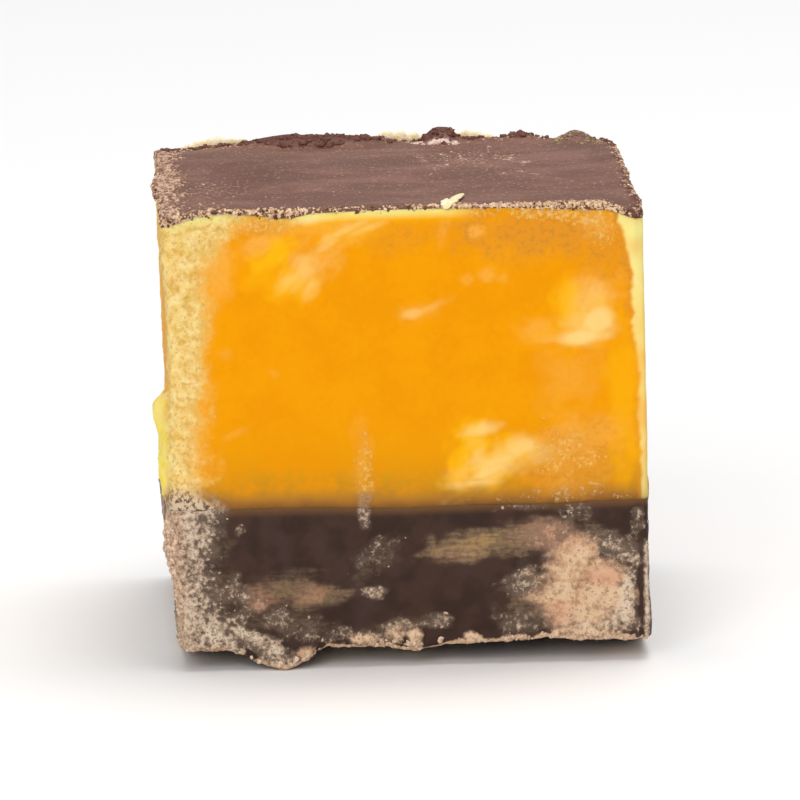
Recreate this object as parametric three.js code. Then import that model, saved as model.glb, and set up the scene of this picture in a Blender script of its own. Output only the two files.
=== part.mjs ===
// A cut cube of layered fudge: a dark chocolate fudge base, a thick orange fudge layer on it and a
// thin chocolate skin on top. Millimetres, +Z up, the cut front face towards -Y, resting on z = 0.
// Each layer is one closed mesh: walls carried round a square plan with small rounded corners, closed
// below and above by caps of shrinking rings. Neighbouring layers share one seam surface.
import * as THREE from "three";

// ---- Driving dimensions -----------------------------------------------------------------------------
const WIDTH = 32; // left to right, between the nominal side planes
const DEPTH = 30; // front to back
const FRONT_LIFT = 1.35; // the front's bottom edge above the table, where no burr hangs
const BASE_HEIGHT = 11.1; // table to the seam of base and orange fudge
const SKIN_TOP = 31.5; // table to the top of the skin, at the middle
const SKIN_THICKNESS = 0.5;
const SKIN_LEAST = 0.25; // the skin is nowhere thinner
const CORNER_RADIUS = 0.7; // vertical edges of the cube
const BOTTOM_ROUND = 0.5; // rounding where the walls meet the underside
const TOP_ROUND = 0.3; // rounding where the walls meet the top of the skin

// How finely the meshes are divided.
const STEPS_PER_SIDE = 32;
const STEP_CROWDING = 0.35; // 0 spaces the steps of a side evenly, 1 crowds them at the corners
const BASE_ROWS = 13;
const BASE_ROW_CROWDING = 1.4; // 1 spaces the rows evenly, more crowds them at the underside
const ORANGE_ROWS = 19;
const SKIN_ROWS = 3;

// Rings of a cap, from the wall inwards: share of the way out from the middle, and steps of the wall
// ring that one step of this ring spans.
const RELIEF_RINGS = [
  { share: 0.975, span: 1 },
  { share: 0.93, span: 1 },
  { share: 0.85, span: 1 },
  { share: 0.72, span: 2 },
  { share: 0.42, span: 4 },
];
const SEAM_RINGS = [
  { share: 0.9, span: 2 },
  { share: 0.6, span: 4 },
];

// ---- Small maths ------------------------------------------------------------------------------------
const HALF_WIDTH = WIDTH / 2;
const HALF_DEPTH = DEPTH / 2;

const clamp01 = (value) => Math.min(1, Math.max(0, value));
const mix = (from, to, share) => from + (to - from) * share;

// 0 at `from`, 1 at `to`, with an easy start and end.
function ease(value, from, to) {
  const share = clamp01((value - from) / (to - from));
  return share * share * (3 - 2 * share);
}

// 1 at the middle, 0 beyond `reach` on both sides, shaped like a cosine wave.
function hump(value, middle, reach) {
  const share = clamp01(Math.abs(value - middle) / reach);
  return (1 + Math.cos(Math.PI * share)) / 2;
}

// A hump with its own reach on each side.
function skewHump(value, middle, reachBefore, reachAfter) {
  return hump(value, middle, value < middle ? reachBefore : reachAfter);
}

// One repeatable draw from -1 to 1 for each whole-number lattice point.
function latticeDraw(ix, iy, iz, seed) {
  let bits = Math.imul(ix, 374761393) + Math.imul(iy, 668265263);
  bits = (bits + Math.imul(iz, 1440662683) + Math.imul(seed, 974634777)) | 0;
  bits = Math.imul(bits ^ (bits >>> 13), 1274126177);
  bits = Math.imul(bits ^ (bits >>> 15), 461845907);
  return ((bits ^ (bits >>> 16)) >>> 0) / 2147483648 - 1;
}

// Smooth noise from -1 to 1 with lumps about `scale` millimetres wide.
function lumps(x, y, z, scale, seed) {
  const at = [x / scale, y / scale, z / scale];
  const cell = at.map(Math.floor);
  const [fx, fy, fz] = at.map((value, axis) => ease(value - cell[axis], 0, 1));
  const [cx, cy, cz] = cell;
  const alongX = (dy, dz) =>
    mix(latticeDraw(cx, cy + dy, cz + dz, seed), latticeDraw(cx + 1, cy + dy, cz + dz, seed), fx);
  const near = mix(alongX(0, 0), alongX(1, 0), fy);
  const far = mix(alongX(0, 1), alongX(1, 1), fy);
  return mix(near, far, fz);
}

// Sum of noises, each with its height and lump size in millimetres, and its own draw.
function relief(waves, x, y, z) {
  return waves.reduce((sum, wave) => sum + wave.height * lumps(x, y, z, wave.size, wave.draw), 0);
}

// Sum of humps along one line, each with its middle, reach and rise.
function humps(list, along) {
  return list.reduce((sum, item) => sum + item.rise * hump(along, item.at, item.reach), 0);
}

// ---- The four level surfaces: heights over the plan, x to the right and y to the back ----------------
const FRONT_Y = -HALF_DEPTH;
const BACK_Y = HALF_DEPTH;
const LEFT_X = -HALF_WIDTH;
const RIGHT_X = HALF_WIDTH;

const FRONT_ROLL = { start: -6.5, end: -15 }; // y where the underside starts to rise, and is risen
const BURR = { x: -8.7, reachLeft: 4.9, reachRight: 3, drop: 1.35, depth: 2.2, out: 0.5, height: 2.2 };
const FRONT_EDGE_WAVES = [
  { at: 0.1, reach: 2.4, rise: -0.4 },
  { at: 8.3, reach: 4.6, rise: 0.3 },
];

function burrAt(x) {
  return skewHump(x, BURR.x, BURR.reachLeft, BURR.reachRight);
}

// The underside is flat on the table, and rolls up to the front's bottom edge. The burr, a smeared
// flap of base fudge, hangs from that edge down to the table.
function undersideHeight(x, y) {
  const edge = FRONT_LIFT + humps(FRONT_EDGE_WAVES, x);
  const risen = edge * ease(y, FRONT_ROLL.start, FRONT_ROLL.end);
  const onBurr = burrAt(x) * ease(y, FRONT_Y + BURR.depth, FRONT_Y + BURR.depth / 2);
  return Math.max(0, risen - BURR.drop * onBurr);
}

// The seam of base and orange fudge is nearly level, with slow waves.
const BASE_SEAM_WAVES = [
  { height: 0.22, size: 9, draw: 11 },
  { height: 0.06, size: 3, draw: 12 },
];

function baseSeamHeight(x, y) {
  return BASE_HEIGHT + relief(BASE_SEAM_WAVES, x, y, 0);
}

// The top of the cube without its small lumps: it rises a little to the front, falls to the back, and
// dips at the corners.
const FRONT_RISE = { depth: 5, rise: 0.25 };
const BACK_FALL = 0.5;
const CORNER_DIPS = [
  { x: RIGHT_X, y: FRONT_Y, reach: 2.6, drop: 0.6 },
  { x: RIGHT_X, y: BACK_Y, reach: 6, drop: 0.3 },
  { x: LEFT_X, y: BACK_Y, reach: 6, drop: 0.35 },
  { x: LEFT_X, y: FRONT_Y, reach: 2.6, drop: 0.3 },
];
const CROWN_WAVES = [{ height: 0.07, size: 7, draw: 32 }];

function crownHeight(x, y) {
  const front = FRONT_RISE.rise * ease(y, FRONT_Y + FRONT_RISE.depth, FRONT_Y);
  const back = BACK_FALL * ease(y, 0, BACK_Y);
  const dipAt = (dip) => dip.drop * hump(Math.hypot(x - dip.x, y - dip.y), 0, dip.reach);
  const corners = CORNER_DIPS.reduce((sum, dip) => sum + dipAt(dip), 0);
  return SKIN_TOP + front - back - corners + relief(CROWN_WAVES, x, y, 0);
}

// The seam under the skin waves more along the front.
const SKIN_SEAM_WAVES = [{ height: 0.1, size: 4, draw: 21 }];
const FRONT_SEAM_WAVES = [
  { at: LEFT_X, reach: 3, rise: -0.25 },
  { at: -12, reach: 2.8, rise: 0.25 },
  { at: -8, reach: 2.2, rise: -0.3 },
  { at: 0, reach: 14, rise: 0.3 },
  { at: RIGHT_X, reach: 5, rise: -0.2 },
];

function skinSeamHeight(x, y) {
  const front = humps(FRONT_SEAM_WAVES, x) * ease(y, FRONT_Y + FRONT_RISE.depth, FRONT_Y);
  return crownHeight(x, y) - SKIN_THICKNESS + front + relief(SKIN_SEAM_WAVES, x, y, 0);
}

// The knife pushed up lumps along the skin's back edge, and left its rim crumbly all round.
const BACK_RIM = [
  { at: -6.5, reach: 6.5, rise: 0.6 },
  { at: -1.5, reach: 4, rise: 0.5 },
  { at: 3.1, reach: 3.2, rise: 0.85 },
  { at: 6, reach: 2.5, rise: 0.3 },
  { at: 13.3, reach: 2.4, rise: 0.3 },
];
const BACK_RIM_DEPTH = { start: 3, end: 1 }; // in from the back edge: where the lumps start, and stand
const RIM_CRUMBS = [{ height: 0.13, size: 1.3, draw: 31 }];
const RIM_BAND = { start: 0.88, end: 0.97 }; // share of the way out where the crumbs start, and are full

function skinTopHeight(x, y) {
  const back = ease(y, BACK_Y - BACK_RIM_DEPTH.start, BACK_Y - BACK_RIM_DEPTH.end);
  const wayOut = Math.max(Math.abs(x) / HALF_WIDTH, Math.abs(y) / HALF_DEPTH);
  const crumbs = relief(RIM_CRUMBS, x, y, 0) * ease(wayOut, RIM_BAND.start, RIM_BAND.end);
  const free = crownHeight(x, y) + humps(BACK_RIM, x) * back + crumbs;
  return Math.max(free, skinSeamHeight(x, y) + SKIN_LEAST);
}

// ---- The walls: how far each side stands out of its nominal plane ------------------------------------
// A side leans evenly between its foot and its head.
function lean(z, side) {
  return mix(side.foot, side.head, clamp01(z / SKIN_TOP));
}

// Loose, crumbly fudge stands in a band down the front's left edge, in patches on the base and along
// the bottom edge.
const CRUMBLY_BAND = { start: -11.5, full: -14.5 };
const CRUMBLY_LEFT = { start: -8, full: -13, top: 7, fullTop: 4 };
const CRUMBLY_RIGHT = { x: 12, reachX: 6.5, z: 4.6, reachZ: 4.2 };
const CRUMBLY_LINE = { top: 3.2, full: 1.6 };

function crumbly(x, z) {
  const band = ease(x, CRUMBLY_BAND.start, CRUMBLY_BAND.full);
  const besideBand = ease(x, CRUMBLY_LEFT.start, CRUMBLY_LEFT.full);
  const left = besideBand * ease(z, CRUMBLY_LEFT.top, CRUMBLY_LEFT.fullTop);
  const right =
    hump(x, CRUMBLY_RIGHT.x, CRUMBLY_RIGHT.reachX) * hump(z, CRUMBLY_RIGHT.z, CRUMBLY_RIGHT.reachZ);
  const line = ease(z, CRUMBLY_LINE.top, CRUMBLY_LINE.full);
  return clamp01(band + left + right + line);
}

const FRONT_CRAGS = [{ height: 0.16, size: 1.7, draw: 41 }];
const FRONT_WAVES = [{ height: 0.1, size: 8, draw: 42 }];
const FRONT_LIP = { x: 15.1, reach: 1, low: 26.5, high: 29, out: 0.35 };

function frontOut(x, z) {
  const burr = BURR.out * burrAt(x) * ease(z, 1 + BURR.height, 1);
  const lipHeight = ease(z, FRONT_LIP.low, FRONT_LIP.high);
  const lip = FRONT_LIP.out * hump(x, FRONT_LIP.x, FRONT_LIP.reach) * lipHeight;
  const crags = crumbly(x, z) * relief(FRONT_CRAGS, x, 0, z);
  return burr + lip + crags + relief(FRONT_WAVES, x, 0, z);
}

// The left side bulges on the base, draws in below, and carries a smeared lip of orange fudge just
// behind its front edge, with a knob at the lip's upper end.
const LEFT_LEAN = { foot: -0.25, head: 0.45 };
const LEFT_BULGE = { z: 8.8, reachDown: 4, reachUp: 5, out: 0.6 };
const LEFT_LIP = { y: -12.6, reach: 2.6, low: 10.4, high: 19, out: 0.95 };
const LEFT_KNOB = { z: 17.8, reach: 1.7, out: 0.45 };
const LEFT_CRAGS = [{ height: 0.09, size: 1.6, draw: 51 }];
const LEFT_WAVES = [{ height: 0.12, size: 8, draw: 52 }];

function leftOut(y, z) {
  const bulge = LEFT_BULGE.out * skewHump(z, LEFT_BULGE.z, LEFT_BULGE.reachDown, LEFT_BULGE.reachUp);
  const lipHeight = ease(z, LEFT_LIP.low, LEFT_LIP.low + 2) * ease(z, LEFT_LIP.high, LEFT_LIP.high - 1);
  const lipOut = LEFT_LIP.out + LEFT_KNOB.out * hump(z, LEFT_KNOB.z, LEFT_KNOB.reach);
  const lip = lipOut * hump(y, LEFT_LIP.y, LEFT_LIP.reach) * lipHeight;
  const crags = relief(LEFT_CRAGS, 0, y, z) * (1 - lipHeight);
  return lean(z, LEFT_LEAN) + bulge + lip + crags + relief(LEFT_WAVES, 0, y, z);
}

// The other two sides are smoother. Only the base is crumbly on them.
const RIGHT_LEAN = { foot: 0.27, head: -0.1 };
const RIGHT_SMEAR = { y: -12.5, reachY: 2.5, z: 11.6, reachZ: 1.4, out: 0.3 };
const RIGHT_CRAGS = [{ height: 0.07, size: 1.6, draw: 61 }];
const RIGHT_WAVES = [{ height: 0.12, size: 8, draw: 62 }];
const BACK_SWELL = { z: 10, reach: 8, out: 0.3 };
const BACK_CRAGS = [{ height: 0.08, size: 1.6, draw: 71 }];
const BACK_WAVES = [{ height: 0.14, size: 8, draw: 72 }];

function onBase(z) {
  return ease(z, BASE_HEIGHT + 1, BASE_HEIGHT - 2);
}

function rightOut(y, z) {
  const smearHeight = hump(z, RIGHT_SMEAR.z, RIGHT_SMEAR.reachZ);
  const smear = RIGHT_SMEAR.out * hump(y, RIGHT_SMEAR.y, RIGHT_SMEAR.reachY) * smearHeight;
  const crags = onBase(z) * relief(RIGHT_CRAGS, 0, y, z);
  return lean(z, RIGHT_LEAN) + smear + crags + relief(RIGHT_WAVES, 0, y, z);
}

function backOut(x, z) {
  const swell = BACK_SWELL.out * hump(z, BACK_SWELL.z, BACK_SWELL.reach);
  const crags = onBase(z) * relief(BACK_CRAGS, x, 0, z);
  return swell + crags + relief(BACK_WAVES, x, 0, z);
}

// The skin stands a little proud on the left, and its cut edge is crumbly all round.
const SKIN_OVERHANG = { y: -3.5, reach: 9, start: -12, full: -15, out: 0.45 };
const SKIN_CRUMBS = [{ height: 0.12, size: 1.3, draw: 81 }];

function skinOut(x, y, z) {
  const onLeft = ease(x, SKIN_OVERHANG.start, SKIN_OVERHANG.full);
  const overhang = SKIN_OVERHANG.out * hump(y, SKIN_OVERHANG.y, SKIN_OVERHANG.reach) * onLeft;
  return overhang + relief(SKIN_CRUMBS, x, y, z);
}

// A quarter-round: how far the wall draws in at `height` above the edge of a rounding.
function roundingInset(height, radius) {
  const rise = radius - Math.min(radius, Math.max(0, height));
  return radius - Math.sqrt(radius * radius - rise * rise);
}

// ---- From the plan to space --------------------------------------------------------------------------
// Presses the corner of the square plan onto its rounding circle.
function roundCorner(x, y) {
  const overX = Math.abs(x) - (HALF_WIDTH - CORNER_RADIUS);
  const overY = Math.abs(y) - (HALF_DEPTH - CORNER_RADIUS);
  if (overX <= 0 || overY <= 0) return [x, y];
  const shrink = Math.max(overX, overY) / Math.hypot(overX, overY);
  const roundX = HALF_WIDTH - CORNER_RADIUS + overX * shrink;
  const roundY = HALF_DEPTH - CORNER_RADIUS + overY * shrink;
  return [Math.sign(x) * roundX, Math.sign(y) * roundY];
}

// Moves a plan point at height z with the sides, fully at the wall and not at all halfway in.
// `skinShare` is 1 on the skin's free edge, and `inset` draws all walls in.
const WALL_GRIP = 0.5;

function standOut(planX, planY, z, skinShare, inset) {
  const [x, y] = roundCorner(planX, planY);
  const gripX = ease(Math.abs(planX) / HALF_WIDTH, WALL_GRIP, 1);
  const gripY = ease(Math.abs(planY) / HALF_DEPTH, WALL_GRIP, 1);
  const shared = skinShare * skinOut(x, y, z) - inset;
  const outX = (planX < 0 ? leftOut(y, z) : rightOut(y, z)) + shared;
  const outY = (planY < 0 ? frontOut(x, z) : backOut(x, z)) + shared;
  return new THREE.Vector3(
    x + Math.sign(planX) * gripX * outX,
    y + Math.sign(planY) * gripY * outY,
    z,
  );
}

// Plan points round the cube, counter-clockwise from the front left corner, scaled by `share`.
function planRing(share, span) {
  const corners = [[-1, -1], [1, -1], [1, 1], [-1, 1]];
  const points = [];
  corners.forEach(([fromX, fromY], side) => {
    const [toX, toY] = corners[(side + 1) % corners.length];
    for (let step = 0; step < STEPS_PER_SIDE; step += span) {
      const even = (2 * step) / STEPS_PER_SIDE - 1;
      const crowded = mix(even, Math.sin((Math.PI / 2) * even), STEP_CROWDING);
      const along = (crowded + 1) / 2;
      points.push([
        mix(fromX, toX, along) * HALF_WIDTH * share,
        mix(fromY, toY, along) * HALF_DEPTH * share,
      ]);
    }
  });
  return points;
}

// ---- Meshes from rings -------------------------------------------------------------------------------
// Collects vertices ring by ring and joins rings with outward-facing triangles.
class RingMesh {
  constructor() {
    this.positions = [];
    this.triangles = [];
  }

  addRing(points) {
    const first = this.positions.length / 3;
    points.forEach((point) => this.positions.push(point.x, point.y, point.z));
    return { first, count: points.length };
  }

  addTriangle(a, b, c, faceDown) {
    this.triangles.push(a, faceDown ? c : b, faceDown ? b : c);
  }

  // Joins a ring to the next one inwards or upwards, which has as many points or half as many.
  join(outer, inner, faceDown) {
    const span = outer.count / inner.count;
    for (let step = 0; step < inner.count; step += 1) {
      const innerNow = inner.first + step;
      const innerNext = inner.first + ((step + 1) % inner.count);
      const outerAt = (offset) => outer.first + ((step * span + offset) % outer.count);
      this.addTriangle(outerAt(0), outerAt(1), innerNow, faceDown);
      this.addTriangle(innerNow, outerAt(1), innerNext, faceDown);
      if (span === 2) this.addTriangle(outerAt(1), outerAt(2), innerNext, faceDown);
    }
  }

  closeWithFan(ring, point, faceDown) {
    const tip = this.addRing([point]).first;
    for (let step = 0; step < ring.count; step += 1) {
      const next = ring.first + ((step + 1) % ring.count);
      this.addTriangle(ring.first + step, next, tip, faceDown);
    }
  }

  geometry() {
    const geometry = new THREE.BufferGeometry();
    geometry.setAttribute("position", new THREE.Float32BufferAttribute(this.positions, 3));
    geometry.setIndex(this.triangles);
    geometry.computeVertexNormals();
    return geometry;
  }
}

// Closes a wall ring with a cap over a level surface.
function addCap(mesh, wallRing, surface, place, faceDown) {
  let outer = wallRing;
  surface.rings.forEach(({ share, span }) => {
    const points = planRing(share, span).map(([x, y]) => place(x, y, surface.heightAt(x, y)));
    const inner = mesh.addRing(points);
    mesh.join(outer, inner, faceDown);
    outer = inner;
  });
  mesh.closeWithFan(outer, place(0, 0, surface.heightAt(0, 0)), faceDown);
}

// One layer between two level surfaces. Its seams lie on the shared wall line, so that the layers
// meet there point for point. Its free edges are rounded, and crumbly on the skin.
function layerGeometry({ floor, roof, rows, crowding }) {
  const mesh = new RingMesh();
  const wallPlan = planRing(1, 1);
  const skinShareAt = (share) => (roof.isSkin ? ease(share, 0, 0.4) : 0);

  const wallPoint = (x, y, share) => {
    const low = floor.heightAt(x, y);
    const high = roof.heightAt(x, y);
    const z = mix(low, high, share);
    const inset = roundingInset(z - low, floor.round) + roundingInset(high - z, roof.round);
    return standOut(x, y, z, skinShareAt(share), inset);
  };

  const rings = [];
  for (let row = 0; row <= rows; row += 1) {
    const share = (row / rows) ** crowding;
    rings.push(mesh.addRing(wallPlan.map(([x, y]) => wallPoint(x, y, share))));
    if (row > 0) mesh.join(rings[row - 1], rings[row], false);
  }
  const onFloor = (x, y, z) => standOut(x, y, z, skinShareAt(0), floor.round);
  const onRoof = (x, y, z) => standOut(x, y, z, skinShareAt(1), roof.round);
  addCap(mesh, rings[0], floor, onFloor, true);
  addCap(mesh, rings[rows], roof, onRoof, false);
  return mesh.geometry();
}

// ---- The three layers --------------------------------------------------------------------------------
const underside = { heightAt: undersideHeight, rings: RELIEF_RINGS, round: BOTTOM_ROUND };
const baseSeam = { heightAt: baseSeamHeight, rings: SEAM_RINGS, round: 0 };
const skinSeam = { heightAt: skinSeamHeight, rings: SEAM_RINGS, round: 0 };
const skinTop = { heightAt: skinTopHeight, rings: RELIEF_RINGS, round: TOP_ROUND, isSkin: true };

function layerMesh(name, shape, color, roughness) {
  const material = new THREE.MeshStandardMaterial({ color, roughness, metalness: 0 });
  const mesh = new THREE.Mesh(layerGeometry(shape), material);
  mesh.name = name;
  return mesh;
}

const baseShape = { floor: underside, roof: baseSeam, rows: BASE_ROWS, crowding: BASE_ROW_CROWDING };
const orangeShape = { floor: baseSeam, roof: skinSeam, rows: ORANGE_ROWS, crowding: 1 };
const skinShape = { floor: skinSeam, roof: skinTop, rows: SKIN_ROWS, crowding: 1 };

const fudgeCube = new THREE.Group();
fudgeCube.add(layerMesh("dark_base", baseShape, 0x49362e, 0.5));
fudgeCube.add(layerMesh("orange_layer", orangeShape, 0xf49d05, 0.45));
fudgeCube.add(layerMesh("chocolate_top", skinShape, 0x8c695f, 0.4));

// The origin is the middle of the bounding box's underside.
const box = new THREE.Box3().setFromObject(fudgeCube);
const middle = box.getCenter(new THREE.Vector3());
fudgeCube.children.forEach((layer) => layer.geometry.translate(-middle.x, -middle.y, -box.min.z));

export default fudgeCube;
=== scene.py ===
"""A cut cube of layered fudge, dressed: dark base, orange layer and chocolate skin with their finishes.

The four sides are one surface carried round a square plan and up through the three layers, so that the
layers meet point for point. Each layer is closed below and above by a cap of shrinking rings. On top
of the main shape come crags, crumbs and smears too fine for the solids.

Lengths are millimetres until a mesh is made. The cube's own frame has x to the right, y to the back
and z up from the table, with the plan's middle at x = y = 0.
"""

import math
from collections import namedtuple

import bpy
import numpy as np
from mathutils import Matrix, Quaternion, Vector


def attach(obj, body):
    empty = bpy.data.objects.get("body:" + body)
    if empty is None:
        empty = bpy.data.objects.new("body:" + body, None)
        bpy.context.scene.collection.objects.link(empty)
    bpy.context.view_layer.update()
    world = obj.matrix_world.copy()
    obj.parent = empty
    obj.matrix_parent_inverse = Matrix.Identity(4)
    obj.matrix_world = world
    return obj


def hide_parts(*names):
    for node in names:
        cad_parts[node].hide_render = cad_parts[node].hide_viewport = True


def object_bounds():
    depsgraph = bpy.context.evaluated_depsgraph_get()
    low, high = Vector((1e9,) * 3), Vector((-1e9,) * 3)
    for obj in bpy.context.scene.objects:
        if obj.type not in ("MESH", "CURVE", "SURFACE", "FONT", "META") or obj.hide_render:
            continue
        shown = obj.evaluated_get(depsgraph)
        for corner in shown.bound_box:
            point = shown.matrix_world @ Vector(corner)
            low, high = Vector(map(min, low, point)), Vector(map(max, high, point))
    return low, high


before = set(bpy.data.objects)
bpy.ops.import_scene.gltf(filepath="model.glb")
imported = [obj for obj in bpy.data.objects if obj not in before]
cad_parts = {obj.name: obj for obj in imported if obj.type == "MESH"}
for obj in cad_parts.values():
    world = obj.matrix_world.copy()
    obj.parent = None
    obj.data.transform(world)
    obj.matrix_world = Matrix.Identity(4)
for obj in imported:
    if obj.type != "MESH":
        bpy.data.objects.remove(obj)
cad_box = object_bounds()

MM = 0.001
PLAN_SHIFT = np.array([0.499, 0.006, 0.0])  # from the cube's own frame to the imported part's frame

Wave = namedtuple("Wave", "height size draw")
Hump = namedtuple("Hump", "at reach rise")
Dip = namedtuple("Dip", "x y reach drop")
Patch = namedtuple("Patch", "x z along across tilt strength")  # an oval on a side, its tilt in degrees


def patches(*rows):
    """Ovals from rows of middle x and z, half length, half width, tilt and strength."""
    return tuple(Patch(*row) for row in rows)


# ---- Small maths ---------------------------------------------------------------------------------
def clamp01(value):
    return np.clip(value, 0.0, 1.0)


def mix(start, end, share):
    return start + (end - start) * share


def ease(value, start, end):
    """0 at start and 1 at end: share * share * (3 - 2 * share) between them."""
    share = clamp01((value - start) / (end - start))
    return share * share * (3 - 2 * share)


def hump(value, middle, reach):
    """1 at the middle and 0 beyond the reach, along half a cosine wave."""
    share = clamp01(np.abs(value - middle) / reach)
    return (1 + np.cos(np.pi * share)) / 2


def skew_hump(value, middle, reach_before, reach_after):
    return hump(value, middle, np.where(value < middle, reach_before, reach_after))


def lattice_draw(ix, iy, iz, seed):
    """One repeatable draw from -1 to 1 for each lattice point, from its scrambled coordinates."""
    bits = ix * np.uint32(374761393) + iy * np.uint32(668265263) + iz * np.uint32(1440662683)
    bits = bits + np.uint32(seed * 974634777 % 2**32)
    bits = (bits ^ (bits >> np.uint32(13))) * np.uint32(1274126177)
    bits = (bits ^ (bits >> np.uint32(15))) * np.uint32(461845907)
    return (bits ^ (bits >> np.uint32(16))) / 2147483648.0 - 1


def lumps(x, y, z, size, seed):
    """Smooth noise from -1 to 1: lattice draws mixed along x, then y, then z, in cells `size` wide."""
    at = np.stack(np.broadcast_arrays(x, y, z)).astype(float) / size
    cell = np.floor(at)
    share = ease(at - cell, 0, 1)
    low = cell.astype(np.int64).astype(np.uint32)
    high = low + np.uint32(1)

    def along_x(y_cells, z_cells):
        left = lattice_draw(low[0], y_cells, z_cells, seed)
        right = lattice_draw(high[0], y_cells, z_cells, seed)
        return mix(left, right, share[0])

    near = mix(along_x(low[1], low[2]), along_x(high[1], low[2]), share[1])
    far = mix(along_x(low[1], high[2]), along_x(high[1], high[2]), share[1])
    return mix(near, far, share[2])


def relief(waves, x, y, z):
    """Sum of lumps, each with its own height, size and draw."""
    return sum(wave.height * lumps(x, y, z, wave.size, wave.draw) for wave in waves)


def humps(items, along):
    return sum(item.rise * hump(along, item.at, item.reach) for item in items)


# ---- The cube's shape, as its solids have it -----------------------------------------------------
WIDTH = 32.0
DEPTH = 30.0
HALF_WIDTH = WIDTH / 2
HALF_DEPTH = DEPTH / 2
LEFT_X, RIGHT_X = -HALF_WIDTH, HALF_WIDTH
FRONT_Y, BACK_Y = -HALF_DEPTH, HALF_DEPTH
FRONT_LIFT = 1.35
BASE_HEIGHT = 11.1
SKIN_TOP = 31.5
SKIN_THICKNESS = 0.5
SKIN_LEAST = 0.25
CORNER_RADIUS = 0.7
BOTTOM_ROUND = 0.5
TOP_ROUND = 0.3

FRONT_ROLL = (-6.5, -15.0)  # y where the underside starts to rise, and is risen
BURR_X, BURR_LEFT, BURR_RIGHT = -8.7, 4.9, 3.0
BURR_DROP, BURR_DEPTH, BURR_OUT, BURR_HEIGHT = 1.35, 2.2, 0.5, 2.2
FRONT_EDGE_WAVES = (Hump(0.1, 2.4, -0.4), Hump(8.3, 4.6, 0.3))


def burr_at(x):
    return skew_hump(x, BURR_X, BURR_LEFT, BURR_RIGHT)


def underside_height(x, y):
    """Flat on the table, rising along an eased roll to the front edge, less the hanging burr."""
    edge = FRONT_LIFT + humps(FRONT_EDGE_WAVES, x)
    risen = edge * ease(y, *FRONT_ROLL)
    on_burr = burr_at(x) * ease(y, FRONT_Y + BURR_DEPTH, FRONT_Y + BURR_DEPTH / 2)
    return np.maximum(0.0, risen - BURR_DROP * on_burr)


BASE_SEAM_WAVES = (Wave(0.22, 9, 11), Wave(0.06, 3, 12))


def base_seam_height(x, y):
    return BASE_HEIGHT + relief(BASE_SEAM_WAVES, x, y, 0)


FRONT_RISE_DEPTH, FRONT_RISE = 5.0, 0.25
BACK_FALL = 0.5
CORNER_DIPS = (
    Dip(RIGHT_X, FRONT_Y, 2.6, 0.6),
    Dip(RIGHT_X, BACK_Y, 6.0, 0.3),
    Dip(LEFT_X, BACK_Y, 6.0, 0.35),
    Dip(LEFT_X, FRONT_Y, 2.6, 0.3),
)
CROWN_WAVES = (Wave(0.07, 7, 32),)


def crown_height(x, y):
    """The top without its small lumps: a rise to the front, a fall to the back and a dip per corner."""
    front = FRONT_RISE * ease(y, FRONT_Y + FRONT_RISE_DEPTH, FRONT_Y)
    back = BACK_FALL * ease(y, 0, BACK_Y)
    corners = sum(dip.drop * hump(np.hypot(x - dip.x, y - dip.y), 0, dip.reach) for dip in CORNER_DIPS)
    return SKIN_TOP + front - back - corners + relief(CROWN_WAVES, x, y, 0)


SKIN_SEAM_WAVES = (Wave(0.1, 4, 21),)
FRONT_SEAM_WAVES = (
    Hump(LEFT_X, 3.0, -0.25),
    Hump(-12.0, 2.8, 0.25),
    Hump(-8.0, 2.2, -0.3),
    Hump(0.0, 14.0, 0.3),
    Hump(RIGHT_X, 5.0, -0.2),
)


def skin_seam_height(x, y):
    """The top lowered by the skin's thickness, with waves that are stronger along the front."""
    front = humps(FRONT_SEAM_WAVES, x) * ease(y, FRONT_Y + FRONT_RISE_DEPTH, FRONT_Y)
    return crown_height(x, y) - SKIN_THICKNESS + front + relief(SKIN_SEAM_WAVES, x, y, 0)


BACK_RIM = (
    Hump(-6.8, 4.5, 0.65),
    Hump(-2.8, 3.4, 0.5),
    Hump(3.8, 1.8, 1.0),
    Hump(9.4, 1.4, 0.4),
    Hump(13.6, 1.7, 0.7),
)
BACK_RIM_START, BACK_RIM_FULL = 3.0, 1.0
RIM_CRUMBS = (Wave(0.13, 1.3, 31),)
RIM_BAND = (0.88, 0.97)


def skin_top_height(x, y):
    """The crown plus the back rim's lumps and the rim's crumbs, at least a thin skin above its seam."""
    back = ease(y, BACK_Y - BACK_RIM_START, BACK_Y - BACK_RIM_FULL)
    way_out = np.maximum(np.abs(x) / HALF_WIDTH, np.abs(y) / HALF_DEPTH)
    crumbs = relief(RIM_CRUMBS, x, y, 0) * ease(way_out, *RIM_BAND)
    free = crown_height(x, y) + humps(BACK_RIM, x) * back + crumbs
    return np.maximum(free, skin_seam_height(x, y) + SKIN_LEAST)


# Where the front's crumb starts and is full, and the middle and reach of the patch on the right.
CRUMBLY_BAND_X, CRUMBLY_FOOT_Z = (-11.5, -14.5), (3.2, 1.6)
CRUMBLY_LEFT_X, CRUMBLY_LEFT_Z = (-8.0, -13.0), (7.0, 4.0)
CRUMBLY_RIGHT_X, CRUMBLY_RIGHT_Z = (12.0, 6.5), (4.6, 4.2)


def crumbly(x, z):
    """Where the front is crumbly: down its left edge, at the base's foot and in a patch on the right."""
    band = ease(x, *CRUMBLY_BAND_X)
    left = ease(x, *CRUMBLY_LEFT_X) * ease(z, *CRUMBLY_LEFT_Z)
    right = hump(x, *CRUMBLY_RIGHT_X) * hump(z, *CRUMBLY_RIGHT_Z)
    return clamp01(band + left + right + ease(z, *CRUMBLY_FOOT_Z))


FRONT_CRAGS = (Wave(0.16, 1.7, 41),)
FRONT_WAVES = (Wave(0.1, 8, 42),)
CORNER_LIP, CORNER_LIP_Z = Hump(15.1, 1.0, 0.35), (26.5, 29.0)


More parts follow.
